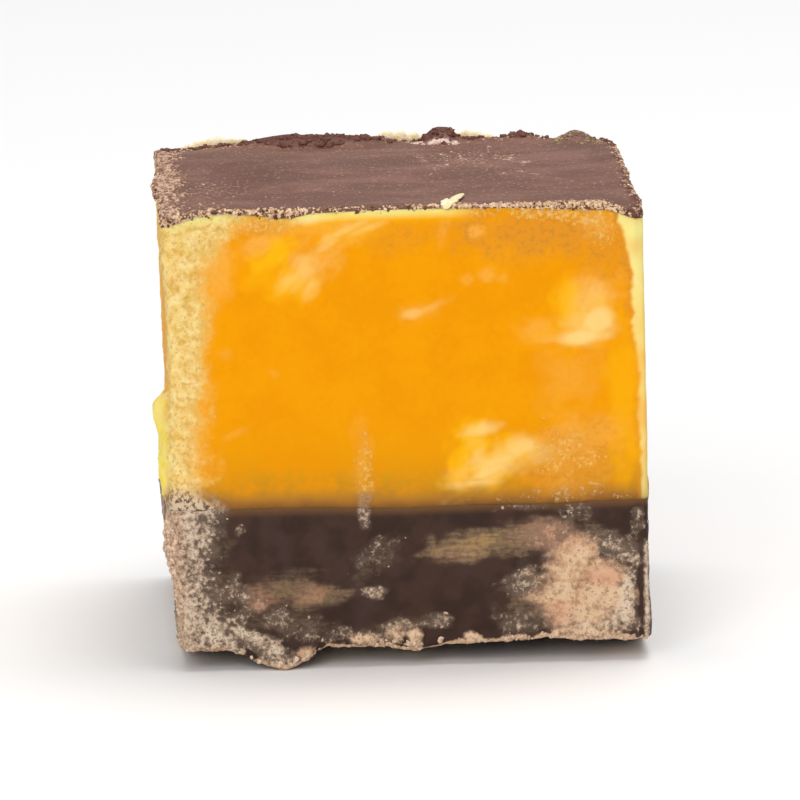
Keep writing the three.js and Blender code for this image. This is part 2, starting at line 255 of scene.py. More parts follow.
def front_out(x, z):
    """How far the front stands out: the burr, the lip at its right top corner, crags and slow waves."""
    burr = BURR_OUT * burr_at(x) * ease(z, 1 + BURR_HEIGHT, 1)
    lip = humps((CORNER_LIP,), x) * ease(z, *CORNER_LIP_Z)
    crags = crumbly(x, z) * relief(FRONT_CRAGS, x, 0, z)
    return burr + lip + crags + relief(FRONT_WAVES, x, 0, z)


LEFT_FOOT, LEFT_HEAD = -0.25, 0.45
LEFT_BULGE_Z, LEFT_BULGE_DOWN, LEFT_BULGE_UP, LEFT_BULGE_OUT = 8.8, 4.0, 5.0, 0.6
LEFT_LIP_Y, LEFT_LIP_REACH, LEFT_LIP_LOW, LEFT_LIP_HIGH, LEFT_LIP_OUT = -12.6, 2.6, 10.4, 19.0, 0.95
LEFT_LIP_HEAD = LEFT_LIP_HIGH - 1
LEFT_KNOB_Z, LEFT_KNOB_REACH, LEFT_KNOB_OUT = 17.8, 1.7, 0.45
LEFT_CRAGS = (Wave(0.09, 1.6, 51),)
LEFT_WAVES = (Wave(0.12, 8, 52),)


def left_lip(y, z):
    """The smeared lip behind the left front edge, from 0 to 1, with uneven edges."""
    uneven_y = y + 0.5 * lumps(0, y / 3, z, 2.4, 53) + 0.15 * lumps(0, y, z, 0.7, 54)
    uneven_z = z + 0.7 * lumps(0, y, z / 3, 1.5, 55)
    foot = ease(uneven_z, LEFT_LIP_LOW, LEFT_LIP_LOW + 3.5)
    head = ease(uneven_z, LEFT_LIP_HIGH, LEFT_LIP_HEAD)
    return hump(uneven_y, LEFT_LIP_Y, LEFT_LIP_REACH) * foot * head


def left_out(y, z):
    """How far the left side stands out: its lean, the bulge of the base, the lip and its knob, crags."""
    leaning = mix(LEFT_FOOT, LEFT_HEAD, clamp01(z / SKIN_TOP))
    bulge = LEFT_BULGE_OUT * skew_hump(z, LEFT_BULGE_Z, LEFT_BULGE_DOWN, LEFT_BULGE_UP)
    lip_out = LEFT_LIP_OUT + LEFT_KNOB_OUT * hump(z, LEFT_KNOB_Z, LEFT_KNOB_REACH)
    beside_lip = ease(z, LEFT_LIP_LOW, LEFT_LIP_LOW + 2) * ease(z, LEFT_LIP_HIGH, LEFT_LIP_HEAD)
    crags = relief(LEFT_CRAGS, 0, y, z) * (1 - beside_lip)
    return leaning + bulge + lip_out * left_lip(y, z) + crags + relief(LEFT_WAVES, 0, y, z)


RIGHT_FOOT, RIGHT_HEAD = 0.27, -0.1
RIGHT_CRAGS = (Wave(0.07, 1.6, 61),)
RIGHT_WAVES = (Wave(0.12, 8, 62),)
RIGHT_SMEAR_Y, RIGHT_SMEAR_Z = Hump(-12.5, 2.5, 0.3), (11.6, 1.4)
BACK_SWELL = Hump(10.0, 8.0, 0.3)
BACK_CRAGS = (Wave(0.08, 1.6, 71),)
BACK_WAVES = (Wave(0.14, 8, 72),)


def on_base(z):
    return ease(z, BASE_HEIGHT + 1, BASE_HEIGHT - 2)


def right_out(y, z):
    """How far the right side stands out: its lean, a small smear at the seam, and crags on the base."""
    leaning = mix(RIGHT_FOOT, RIGHT_HEAD, clamp01(z / SKIN_TOP))
    smear = humps((RIGHT_SMEAR_Y,), y) * hump(z, *RIGHT_SMEAR_Z)
    return leaning + smear + on_base(z) * relief(RIGHT_CRAGS, 0, y, z) + relief(RIGHT_WAVES, 0, y, z)


def back_out(x, z):
    """How far the back stands out: a slow swell, and crags on the base."""
    crags = on_base(z) * relief(BACK_CRAGS, x, 0, z)
    return humps((BACK_SWELL,), z) + crags + relief(BACK_WAVES, x, 0, z)


SKIN_CRUMBS = (Wave(0.12, 1.3, 81),)
OVERHANG, OVERHANG_X = Hump(-3.5, 9.0, 0.45), (-12.0, -15.0)


def skin_out(x, y, z):
    """How far the skin stands out of the walls: an overhang on the left, and crumbs."""
    overhang = humps((OVERHANG,), y) * ease(x, *OVERHANG_X)
    return overhang + relief(SKIN_CRUMBS, x, y, z)


def rounding_inset(height, radius):
    """A quarter-round: how far the wall draws in at a height above the edge of the rounding."""
    rise = radius - np.clip(height, 0, radius)
    return radius - np.sqrt(radius * radius - rise * rise)


def round_corner(x, y):
    """Presses the corner of the square plan onto its rounding circle."""
    over_x = np.abs(x) - (HALF_WIDTH - CORNER_RADIUS)
    over_y = np.abs(y) - (HALF_DEPTH - CORNER_RADIUS)
    in_corner = (over_x > 0) & (over_y > 0)
    shrink = np.maximum(over_x, over_y) / np.maximum(np.hypot(over_x, over_y), 1e-9)
    round_x = np.sign(x) * (HALF_WIDTH - CORNER_RADIUS + over_x * shrink)
    round_y = np.sign(y) * (HALF_DEPTH - CORNER_RADIUS + over_y * shrink)
    return np.where(in_corner, round_x, x), np.where(in_corner, round_y, y)


def stand_out(plan_x, plan_y, z, skin_share, inset):
    """Plan points at height z moved with the sides, fully at the wall and not at all halfway in."""
    x, y = round_corner(plan_x, plan_y)
    grip_x = ease(np.abs(plan_x) / HALF_WIDTH, 0.5, 1)
    grip_y = ease(np.abs(plan_y) / HALF_DEPTH, 0.5, 1)
    shared = skin_share * skin_out(x, y, z) - inset
    out_x = np.where(plan_x < 0, left_out(y, z), right_out(y, z)) + shared
    out_y = np.where(plan_y < 0, front_out(x, z), back_out(x, z)) + shared
    moved_x = x + np.sign(plan_x) * grip_x * out_x
    moved_y = y + np.sign(plan_y) * grip_y * out_y
    return np.stack(np.broadcast_arrays(moved_x, moved_y, z), axis=-1)


# ---- Where the fudge is frosted, smeared and streaked --------------------------------------------
# On the orange front: soft yellow smears, cream cores in them, and a peach bloom round them.
YELLOW = patches(
    (-8.8, 28.4, 2.6, 1.5, 20, 0.95), (-9.7, 27.5, 2.2, 1.0, 35, 0.45), (-7.8, 27.1, 2.6, 1.5, 48, 0.70),
    (-6.9, 26.2, 1.8, 1.3, 70, 0.50), (-3.6, 30.1, 3.6, 1.2, 10, 0.40), (-6.0, 30.9, 2.2, 0.9, 8, 0.60),
    (10.8, 24.9, 2.4, 1.6, 88, 0.80), (12.0, 23.8, 3.0, 2.6, 0, 0.55), (9.2, 22.9, 1.9, 1.1, 5, 0.20),
    (4.4, 15.4, 2.4, 2.2, 60, 0.95), (3.5, 14.0, 2.6, 1.5, 68, 0.90), (3.0, 13.0, 1.9, 0.9, 30, 0.75),
    (5.8, 14.1, 4.4, 1.9, 22, 0.85), (14.6, 18.0, 9.0, 1.6, 90, 0.50),
)
CREAM = patches(
    (-7.0, 27.4, 2.3, 1.5, 60, 0.47), (-7.9, 26.8, 2.0, 0.8, 42, 0.40), (-6.6, 26.3, 1.6, 0.9, 60, 0.40),
    (-6.3, 31.1, 1.9, 0.6, 6, 0.90), (-4.2, 30.1, 2.6, 0.5, 25, 0.42), (-2.5, 30.3, 2.0, 0.4, 20, 0.36),
    (-5.3, 29.2, 1.8, 0.4, 32, 0.36), (12.9, 23.5, 1.7, 1.4, 15, 0.82), (11.6, 22.45, 2.9, 0.7, 1, 0.88),
    (12.0, 23.3, 2.6, 1.7, 0, 0.42), (12.4, 25.0, 2.2, 1.8, 65, 0.33), (11.4, 24.5, 2.2, 1.3, 60, 0.18),
    (4.9, 16.3, 1.9, 0.7, 6, 0.66), (4.5, 15.5, 1.4, 0.6, 40, 0.16), (5.9, 13.75, 4.4, 1.9, 23, 0.58),
    (7.4, 14.8, 2.6, 0.9, 12, 0.70), (6.2, 14.1, 3.0, 1.0, 22, 0.70), (5.2, 13.3, 2.6, 0.7, 20, 0.74),
    (8.6, 14.4, 2.0, 1.1, 10, 0.38), (4.4, 12.6, 3.2, 0.5, 4, 0.66), (0.4, 24.35, 1.3, 0.6, 10, 0.42),
    (1.5, 24.7, 1.6, 0.4, 20, 0.25),
)
PEACH = patches(
    (-10.0, 29.2, 2.4, 1.2, 15, 0.80), (-5.3, 28.2, 2.0, 1.6, 60, 0.65), (-13.0, 27.6, 3.0, 1.6, 85, 0.75),
    (-4.2, 29.4, 2.8, 0.8, 22, 0.45), (-6.8, 29.6, 2.0, 1.0, 50, 0.40), (12.6, 24.7, 2.9, 2.5, 20, 0.70),
    (8.9, 23.0, 2.0, 1.3, 5, 0.60), (11.0, 19.9, 3.4, 2.8, 10, 0.40), (10.8, 14.8, 3.8, 3.5, 35, 0.60),
    (13.0, 15.6, 2.4, 2.3, 0, 0.50), (4.1, 26.6, 0.6, 0.6, 0, 0.50), (5.4, 26.8, 0.9, 0.65, 0, 0.65),
    (6.5, 26.6, 0.7, 0.5, 0, 0.50), (4.7, 29.8, 0.8, 0.6, 10, 0.80), (0.6, 24.4, 2.0, 1.0, 12, 0.50),
    (-9.1, 20.5, 0.7, 0.4, -30, 0.40), (-11.8, 16.4, 1.4, 0.35, 25, 0.35), (-12.4, 21.9, 0.9, 0.7, 0, 0.30),
    (-3.2, 14.3, 3.8, 1.0, 90, 0.45), (2.6, 30.0, 1.6, 0.6, 75, 0.40), (13.2, 30.0, 1.8, 1.4, 0, 0.60),
    (-6.0, 30.6, 6.5, 1.4, 2, 0.60),
)
ORANGE_GRAIN = patches(
    (-3.1, 14.0, 3.6, 1.1, 90, 0.45), (-3.0, 12.4, 1.5, 1.5, 0, 0.50), (10.8, 14.4, 4.2, 3.5, 30, 0.46),
    (9.4, 12.0, 4.8, 0.9, 3, 0.40), (9.5, 30.9, 8.0, 0.9, -3, 0.66), (13.4, 29.6, 1.9, 1.9, 0, 0.45),
    (-9.5, 30.6, 3.6, 1.3, 0, 0.50), (12.4, 30.5, 2.0, 0.9, -10, 0.75),
)
# Just above the seam: crumb of the base smeared up over the orange.
SMEARED_UP = patches((-14.6, 11.2, 3.2, 1.6, 0, 1.00), (-3.1, 11.6, 0.9, 1.2, 0, 0.55))
SEAM_GRAIN = patches(
    (6.6, 11.4, 1.6, 0.6, 0, 0.42), (8.4, 11.7, 1.8, 0.8, 12, 0.48), (10.2, 11.5, 1.8, 1.0, -8, 0.50),
    (12.2, 11.9, 1.8, 0.9, 20, 0.46), (14.0, 11.4, 1.4, 0.6, 0, 0.40), (3.6, 11.4, 1.6, 0.4, 0, 0.30),
    (-10.0, 11.3, 1.6, 0.4, 0, 0.30),
)
# Brown grain; the oval at (14.7, 27.9), along the right lip's inner edge, is painted shadow.
BROWN_GRAIN_AND_LIP_SHADOW = patches(
    (9.0, 29.6, 10.0, 2.6, -2, 0.9), (13.0, 28.4, 3.0, 2.2, -20, 0.7), (10.8, 14.0, 4.4, 3.4, 20, 0.8),
    (-13.2, 30.2, 2.6, 1.3, 0, 0.4), (14.7, 27.9, 2.4, 0.6, 100, 0.9), (-0.5, 29.6, 5.0, 1.6, 0, 0.35),
    (-9.8, 30.4, 3.0, 0.9, 0, 0.5),
)
# The pale lip down the front's right edge: x of its inner edge at some heights, and how it starts.
LIP_FADE = (-0.12, 0.16)
LIP_HEIGHTS = (12.0, 17.0, 22.0, 23.6, 24.6, 25.6, 26.6, 27.4, 28.6, 29.6, 30.4)
LIP_EDGE = (15.62, 15.55, 15.40, 15.22, 15.05, 15.22, 15.30, 15.05, 14.80, 14.62, 14.35)

# The pale line under the skin's front edge: its strength at some x.
TOP_LINE_PLACES = (-16.0, -15.0, -12.5, -11.5, -8.0, -6.5, 3.0, 5.0)
TOP_LINE_STRENGTH = (0.3, 0.8, 0.8, 0.15, 0.15, 1.0, 1.0, 0.0)

# On the dark front: grey crumb, rosy crumb, olive and pink streaks, and bare dark fudge among them; some of
# that dark is painted shadow.
GREY_CRUMB = patches(
    (-13.2, 2.6, 4.2, 2.2, -30, 0.90), (-10.8, 2.0, 3.8, 1.3, -8, 0.85), (-9.2, 0.7, 3.6, 1.4, 0, 0.90),
    (-9.6, 1.4, 2.6, 1.1, -8, 0.95), (-11.9, 4.4, 3.4, 2.6, -40, 0.46), (-8.8, 3.4, 4.6, 1.8, -12, 0.36),
    (-7.0, 2.3, 5.4, 1.3, 0, 0.42), (-1.0, 2.7, 2.2, 1.1, 5, 0.66), (1.4, 3.1, 2.6, 0.9, 4, 0.42),
    (-3.0, 2.0, 3.2, 0.8, 4, 0.65), (-2.8, 5.2, 1.3, 0.8, 0, 0.72), (-3.1, 10.4, 0.9, 1.5, 0, 0.52),
    (-2.7, 7.4, 3.6, 2.4, 35, 0.36), (-11.6, 9.8, 0.8, 0.7, 0, 0.45), (7.6, 5.2, 3.2, 2.6, 20, 0.50),
    (7.2, 3.3, 3.2, 2.2, 0, 0.40), (14.0, 7.6, 3.2, 2.6, -20, 0.52), (8.5, 11.2, 4.8, 1.0, 2, 0.46),
    (10.6, 10.3, 2.4, 1.7, 0, 0.42), (15.3, 9.6, 0.8, 2.2, 0, 0.50), (14.2, 3.2, 2.8, 3.0, 0, 1.00),
    (12.6, 2.4, 4.2, 1.4, 0, 0.90), (12.6, 8.6, 2.8, 1.5, -10, 0.36), (14.7, 4.6, 0.9, 3.4, 0, 0.90),
)
ROSY_CRUMB = patches(
    (10.5, 4.9, 3.9, 4.8, 0, 1.10), (12.8, 5.1, 4.2, 3.7, -25, 1.15), (10.9, 7.3, 3.4, 3.2, 20, 1.00),
    (9.4, 8.9, 3.6, 1.6, 10, 0.58), (11.6, 3.2, 4.6, 3.2, 0, 1.05), (-10.5, 4.5, 1.1, 1.0, 0, 0.60),
    (9.9, 6.0, 1.8, 3.0, 0, 1.00), (9.7, 3.5, 1.4, 1.8, 0, 0.92), (-7.3, 1.2, 1.3, 0.8, 15, 0.90),
)
OLIVE_STREAKS = patches(
    (5.2, 8.45, 5.8, 1.8, 6, 0.80), (4.6, 8.4, 3.4, 1.2, 14, 1.10), (1.7, 7.95, 3.0, 0.75, 14, 0.80),
    (0.9, 7.8, 2.2, 0.45, 10, 0.55), (7.8, 9.0, 3.8, 1.4, 2, 0.75), (12.4, 9.3, 2.6, 1.0, -25, 0.45),
    (7.6, 4.6, 3.4, 2.0, 65, 0.42), (14.0, 8.0, 2.8, 1.8, -25, 0.42), (-2.4, 7.3, 3.4, 1.4, 38, 0.26),
    (-8.6, 3.2, 5.0, 1.2, -8, 0.34), (-12.6, 5.2, 2.2, 3.2, 20, 0.36), (-12.8, 8.8, 1.6, 2.6, 0, 0.30),
    (-1.4, 2.8, 2.8, 1.0, 4, 0.34), (1.6, 3.1, 2.4, 0.8, 4, 0.30), (-8.6, 5.5, 3.6, 1.4, 0, 0.62),
    (-6.6, 4.9, 2.2, 1.1, 20, 0.82), (-8.0, 6.5, 4.4, 0.8, 5, 0.30), (-5.0, 5.0, 2.2, 0.9, 10, 0.60),
)
PINK_STREAKS = patches(
    (3.4, 7.7, 3.2, 0.9, 10, 0.30), (9.0, 8.9, 2.8, 1.5, 5, 0.90), (-6.8, 5.1, 1.5, 1.1, 10, 0.65),
    (-10.3, 5.0, 1.5, 1.4, 0, 0.70), (13.2, 5.9, 1.8, 1.2, -15, 0.90), (10.0, 3.5, 1.6, 1.2, 0, 0.60),
)
# Bare dark fudge, and painted shadow: the band under the olive streak at (5.3, 6.45) and (8.4, 7.4), and
# the line beside the ridge down the base's right edge at x 15.55.
BARE_DARK_AND_PAINTED_SHADOW = patches(
    (5.3, 6.45, 3.7, 0.8, 12, 0.95), (8.4, 7.4, 1.2, 0.45, 25, 0.50), (13.4, 9.9, 3.0, 1.1, 0, 0.80),
    (-12.2, 4.3, 0.8, 0.8, 0, 0.60), (15.55, 5.0, 4.5, 0.22, 90, 0.85),
)

# The crumbly band down the front's left edge: x of its inner edge at some heights.
BAND_HEIGHTS = (1.7, 3.0, 5.0, 7.0, 9.0, 11.0, 12.5, 20.0, 26.0, 28.0, 30.0, 31.5)
BAND_FADE = (1.9, -1.5)  # from the edge to where the band starts, and is full
BAND_EDGE = (-12.5, -13.0, -13.6, -14.0, -13.8, -13.4, -13.9, -14.1, -13.9, -13.3, -12.2, -11.0)

# Small heaps of crumb that stand out along the base's foot, and how far.
FOOT_HEAPS = patches(
    (0.1, 1.9, 0.8, 1.3, 0, 1.3), (4.1, 1.8, 1.1, 0.9, 0, 1.2), (6.3, 1.8, 0.7, 0.5, 0, 0.9),
    (9.7, 2.0, 0.7, 0.7, 0, 1.1), (-3.4, 1.9, 1.6, 0.7, 0, 0.9), (-1.2, 2.3, 1.4, 1.1, 20, 0.7),
    (12.6, 1.9, 2.4, 0.6, 0, 0.8),
)
HEAP_OUT = 0.22
FOOT_DRAW = 107


def turned(x, z, patch):
    """Coordinates along and across a patch, from its middle."""
    tilt = math.radians(patch.tilt)
    dx, dz = x - patch.x, z - patch.z
    return dx * math.cos(tilt) + dz * math.sin(tilt), dz * math.cos(tilt) - dx * math.sin(tilt)


def painted(ovals, x, z, draw, combing=0.12, raggedness=1.0, core=0.85):
    """The strongest of tilted ovals with soft rims, ragged by lumps and combed along their length."""
    ragged = raggedness * (0.22 * lumps(x, 0, z, 1.1, draw) + 0.14 * lumps(x, 0, z, 0.45, draw + 1))
    strongest = np.zeros(x.shape)
    for patch in ovals:
        along, across = turned(x, z, patch)
        comb = combing * lumps(along / 6, across, patch.x, 0.25, draw + 2)
        inside = 1 - np.hypot(along / patch.along, across / patch.across) + ragged + comb
        strongest = np.maximum(strongest, patch.strength * ease(inside, 0.0, core))
    return strongest


def frost_band(x, z):
    """1 on the crumbly band at the front's left edge, fading over its ragged inner edge."""
    ragged = 0.5 * lumps(x, 0, z, 1.8, 101) + 0.3 * lumps(x, 0, z, 0.6, 102)
    edge = np.interp(z, BAND_HEIGHTS, BAND_EDGE) + ragged
    return ease(x, edge + BAND_FADE[0], edge + BAND_FADE[1])


def on_front(y):
    return ease(y, FRONT_Y + 1.1, FRONT_Y + 0.3)


def orange_front(x, z, skin_seam):
    """Marks of the orange fudge's front."""
    ragged = 0.18 * lumps(x, 0, z, 0.8, 103) + 0.1 * lumps(x, 0, z, 0.3, 108)
    lip_edge = np.interp(z, LIP_HEIGHTS, LIP_EDGE) + ragged
    thickness = clamp01(0.8 + 0.35 * lumps(x, 0, z, 1.1, 109)) * mix(0.7, 1.0, ease(z, 23.0, 27.5))
    lip = ease(x, lip_edge + LIP_FADE[0], lip_edge + LIP_FADE[1]) * thickness
    # Painted shadow along the lip's inner edge, stronger higher up.
    lip_painted_shadow = hump(x, lip_edge - 0.2, 0.3) * mix(0.35, 1.0, ease(z, 22.0, 27.0))
    lit = np.interp(x, TOP_LINE_PLACES, TOP_LINE_STRENGTH)
    top_line = ease(skin_seam - z, 0.75, 0.1) * clamp01(0.85 + 0.3 * lumps(x, 0, 0, 1.7, 104)) * lit
    return {
        "frost": np.maximum(frost_band(x, z), painted(SMEARED_UP, x, z, 106)),
        "grain": np.maximum(painted(ORANGE_GRAIN, x, z, 111), painted(SEAM_GRAIN, x, z, 114)),
        "yellow": np.maximum(painted(YELLOW, x, z, 121), ease(skin_seam - z, 1.1, 0.2) * lit),
        "cream": painted(CREAM, x, z, 131),
        "lemon": np.maximum(lip, 0.85 * top_line),
        "peach": painted(PEACH, x, z, 141),
        "brown": np.maximum(painted(BROWN_GRAIN_AND_LIP_SHADOW, x, z, 151), lip_painted_shadow),
    }


def base_front(x, z):
    """Marks of the dark fudge's front."""
    above_foot = z - underside_height(x, np.full(x.shape, FRONT_Y)) + 0.22 * lumps(x, 0, z, 0.8, 105)
    foot = ease(above_foot, 0.46, 0.12) * mix(0.85, 1.0, ease(x, -9.0, -4.0))
    foot = np.maximum(foot, painted(FOOT_HEAPS, x, z, FOOT_DRAW))
    edge_line = hump(x, 15.85, 0.35) * ease(z, 9.0, 7.5) * 0.9
    # Painted shadow under the olive streak and beside the right edge's ridge, with bare dark fudge: crumb
    # and streaks are cleared there.
    bare_and_shadow = painted(BARE_DARK_AND_PAINTED_SHADOW, x, z, 161)
    clumps = 1 + 0.35 * lumps(x, 0, z, 0.9, 165)
    grey = np.maximum.reduce([0.77 * frost_band(x, z), clumps * painted(GREY_CRUMB, x, z, 171), foot])
    rosy = painted(ROSY_CRUMB, x, z, 181, raggedness=0.6, core=1.0)
    grey, rosy = np.maximum(grey * (1 - 0.8 * bare_and_shadow), edge_line), rosy * (1 - bare_and_shadow)
    fringe = 0.4 * ease(x, -14.8, -15.8)
    return {
        "frost": np.maximum(grey, rosy),
        "rosy": clamp01(np.maximum.reduce([1.4 * rosy - 0.6 * grey, 0.9 * foot, fringe])),
        "foot": foot * ease(x, -11.0, -4.0),
        "olive": painted(OLIVE_STREAKS, x, z, 191) * (1 - bare_and_shadow),
        "pink": painted(PINK_STREAKS, x, z, 201) * (1 - bare_and_shadow),
    }


def near_upright_edge(x, y):
    """1 along the cube's four upright edges, and 0 from 1.6 mm off them."""
    across = HALF_WIDTH - np.minimum(np.abs(x), HALF_WIDTH)
    deep = HALF_DEPTH - np.minimum(np.abs(y), HALF_DEPTH)
    return ease(np.hypot(across, deep), 1.6, 0.2)


def side_marks(x, y, z, skin_seam):
    """Marks of the other sides: frost in patches, at the edges and the foot, and smears drawn down.
    The left side is crusty all over, and its lip is yellow."""
    along = np.where(np.abs(y) > np.abs(x) * HALF_DEPTH / HALF_WIDTH, x, y)
    patchy = lumps(x, y, z, 6.0, 205) + 0.5 * lumps(x, y, z, 1.8, 206)
    round_front_left = ease(np.hypot(x - LEFT_X, y - FRONT_Y) + lumps(x, y, z, 1.4, 209), 4.2, 1.4)
    by_edges = np.maximum(near_upright_edge(x, y), round_front_left)
    edge_frost = clamp01(by_edges + 0.35 * lumps(x, y, z, 0.9, 207))
    top_line = ease(skin_seam - z, 1.2, 0.2) * clamp01(0.5 + lumps(x, y, z, 2.0, 208))
    drawn_down = lumps(along, 0, z / 5, 0.8, 241) + 0.8 * lumps(along, 0, z / 3, 3.0, 242)
    drag = 0.5 + 0.5 * lumps(along, 0, z / 8, 0.5, 243)
    lip = left_lip(y, z) * (x < 0)
    crusty = clamp01(0.5 + 0.5 * lumps(0, y, z, 2.5, 210) + 0.25 * lumps(0, y, z, 0.8, 211))
    on_left = 0.75 * crusty * ease(x, LEFT_X + 1.5, LEFT_X + 0.5)
    smeared = ease(drawn_down, 0.5, 1.5)
    foot = ease(z, 2.0, 0.7)
    return {
        "frost": np.maximum.reduce(
            [0.5 * ease(patchy, 0.35, 1.1), 0.85 * edge_frost, 0.8 * foot, 0.5 * top_line, on_left]
        ),
        "grain": 0.5 * ease(patchy, 0.1, 0.9),
        "yellow": np.maximum.reduce([0.6 * smeared, ease(lip, 0.05, 0.4), 0.4 * top_line]),
        "cream": 0.25 * smeared,
        "lemon": np.zeros(x.shape),
        "drip": ease(lip, 0.15, 0.6),
        "peach": 0.4 * ease(patchy, 0.0, 0.9),
        # A duller tone over the whole of the other sides, which is painted shade, and streaks drawn down.
        "brown": 0.22 + 0.26 * drag,
        "rosy": clamp01(0.3 + 0.6 * lumps(x, y, z, 2.6, 244)),
        "foot": 0.5 * foot,
        "olive": 0.5 * smeared,
        "pink": 0.3 * ease(patchy, 0.2, 1.0),
    }


def wall_marks(x, y, z, seam, skin_seam):
    """Every mark over the four sides, each from 0 to about 1, and the height above the base's seam. A
    mark that the front doesn't name runs on over it."""
    front = on_front(y)
    shown = front > 0
    marks = side_marks(x, y, z, skin_seam)
    at_x, at_z = x[shown], z[shown]
    seam_there = np.broadcast_to(seam, z.shape)[shown]
    skin_seam_there = np.broadcast_to(skin_seam, z.shape)[shown]
    orange = ease(at_z, seam_there - 0.15, seam_there + 0.15)
    above, below = orange_front(at_x, at_z, skin_seam_there), base_front(at_x, at_z)
    for name in {*above, *below}:
        here = mix(below.get(name, 0.0), above.get(name, 0.0), orange)
        marks[name][shown] = mix(marks[name][shown], here, front[shown])
    marks["above_seam"] = z - seam
    return marks


# ---- Fine relief ---------------------------------------------------------------------------------
CRUMB_RELIEF = (Wave(0.10, 0.75, 301), Wave(0.07, 0.38, 302), Wave(0.035, 0.22, 303))
SMOOTH_RELIEF = (Wave(0.022, 1.4, 311), Wave(0.010, 0.5, 312))
BASE_RELIEF = (Wave(0.035, 0.9, 321), Wave(0.02, 0.35, 322))
EDGE_RIDGE, EDGE_GROOVE = Hump(15.85, 0.35, 0.12), Hump(15.5, 0.22, -0.12)
SMEAR_OUT = 0.04


def wall_relief(x, y, z, seam, marks):
    """Outward relief on the sides: crumbs where frosted, gentle waves elsewhere, raised smears, a ridge
    down the front's right edge with a groove beside it on the base, and the heaps at the foot."""
    base = 1 - ease(z, seam - 0.6, seam + 0.2)
    crumbs = relief(CRUMB_RELIEF, x, y, z) * ease(np.maximum(marks["frost"], marks["grain"]), 0.1, 0.85)
    smooth = relief(SMOOTH_RELIEF, x, y, z) + base * relief(BASE_RELIEF, x, y, z)
    smears = SMEAR_OUT * marks["cream"] * (1 - base)
    edge = humps((EDGE_RIDGE,), x) + humps((EDGE_GROOVE,), x) * base
    heaps = HEAP_OUT * painted(FOOT_HEAPS, x, z, FOOT_DRAW) * ease(z, 1.4, 2.0)
    return crumbs + smooth + smears + on_front(y) * (edge + heaps)


# How crumbly the skin's top is along its front edge, at some x.
FRONT_RIM_PLACES = (-16.0, -12.5, -11.5, -7.5, -6.5, -1.0, 2.0, 4.5, 13.5, 14.5)
FRONT_RIM_COVER = (0.50, 0.50, 0.44, 0.44, 0.30, 0.30, 0.45, 0.62, 0.62, 0.15)
# The other crumbly places on the skin's top (x, y).
PITTED = Patch(6.0, 8.0, 6.5, 7.0, 0, 0.29)
FRONT_LEFT_CORNER = Patch(-13.0, -12.5, 4.5, 4.0, 0, 0.36)


def oval(patch, x, y):
    """A patch's strength at its middle, fading along half a cosine wave to its rim."""
    way_out = np.hypot((x - patch.x) / patch.along, (y - patch.z) / patch.across)
    return patch.strength * hump(way_out, 0, 1)


def rim_cover(x, y):
    """How crumbly the skin's top is: along its left edge, less along the others, round its front left
    corner and where it is pitted."""
    from_left = x - LEFT_X
    from_front = y - FRONT_Y
    from_right = RIGHT_X - x
    from_back = BACK_Y - y
    ragged = 0.5 * lumps(x, y, 0, 1.5, 331) + 0.3 * lumps(x, y, 0, 0.6, 332)
    left = 0.62 * ease(from_left + ragged, 2.2, 0.5)
    front = np.interp(x, FRONT_RIM_PLACES, FRONT_RIM_COVER) * ease(from_front + 0.6 * ragged, 1.3, 0.3)
    right = 0.5 * ease(from_right + 0.8 * ragged, 1.0, 0.2)
    bare_lumps = 0.85 * clamp01(2.0 * humps(BACK_RIM, x)) * ease(x, 12.5, 11.0)
    back = 0.42 * ease(from_back + ragged, 2.6, 0.8) * (1 - bare_lumps)
    ovals = np.maximum(oval(PITTED, x, y), oval(FRONT_LEFT_CORNER, x, y))
    return clamp01(np.maximum.reduce([left, front, right, back, ovals]))


TOP_RELIEF = (Wave(0.02, 2.5, 341), Wave(0.010, 0.6, 342))
RIM_RELIEF = (Wave(0.11, 0.7, 351), Wave(0.07, 0.35, 352))


def top_relief(x, y, cover):
    """Upward relief on the skin: crumbs on its rim, and faint waves drawn out from left to right."""
    return relief(RIM_RELIEF, x, y, 0) * ease(cover, 0.25, 0.8) + relief(TOP_RELIEF, x / 3, y, 0)


FLECK_DRAW, HEAP_DRAW = 371, 386

# On the skin's top (x, y): pale flecks and scratches.
TOP_FLECKS = patches(
    (5.4, 4.0, 4.6, 6.5, 0, 0.50), (-13.0, -5.5, 2.6, 5.0, 0, 0.45), (-13.9, -6.8, 1.2, 0.6, 60, 0.7),
    (-13.2, -8.8, 1.0, 0.6, 20, 0.6), (-12.4, -7.6, 1.2, 0.6, 80, 0.6), (-11.7, -8.8, 0.8, 0.7, 0, 0.6),
    (-10.8, -7.4, 0.9, 0.8, 0, 0.6), (-8.5, -9.2, 0.9, 0.7, 0, 0.5), (2.1, 3.4, 5.5, 0.4, 97, 0.9),
    (2.9, 0.6, 4.0, 0.35, 80, 0.8), (3.6, 6.5, 3.0, 0.4, 105, 0.8), (4.7, 5.0, 3.5, 0.5, 100, 0.8),
    (6.2, 6.0, 2.4, 0.6, 80, 0.8), (8.0, 4.0, 3.2, 0.7, 95, 0.75), (9.0, 1.6, 2.2, 0.5, 80, 0.75),
    (7.2, -2.8, 0.5, 0.6, 0, 0.9), (8.5, -2.0, 0.5, 0.6, 0, 0.9), (9.4, -3.2, 0.4, 0.6, 0, 0.8),
    (-0.6, -5.8, 2.4, 0.9, 0, 0.35), (-3.6, 10.8, 1.6, 0.5, 85, 0.5), (-4.6, 11.2, 1.4, 0.4, 95, 0.4),
    (-2.9, 11.0, 1.2, 0.4, 80, 0.4),
)
# A row of pale crumbs before the highest lump of the back edge.
PALE_HEAP = patches(
    (3.3, 12.5, 1.6, 0.38, 0, 1.0), (2.0, 13.3, 0.5, 0.5, 0, 0.9), (4.7, 12.4, 0.5, 0.35, 0, 0.7),
)
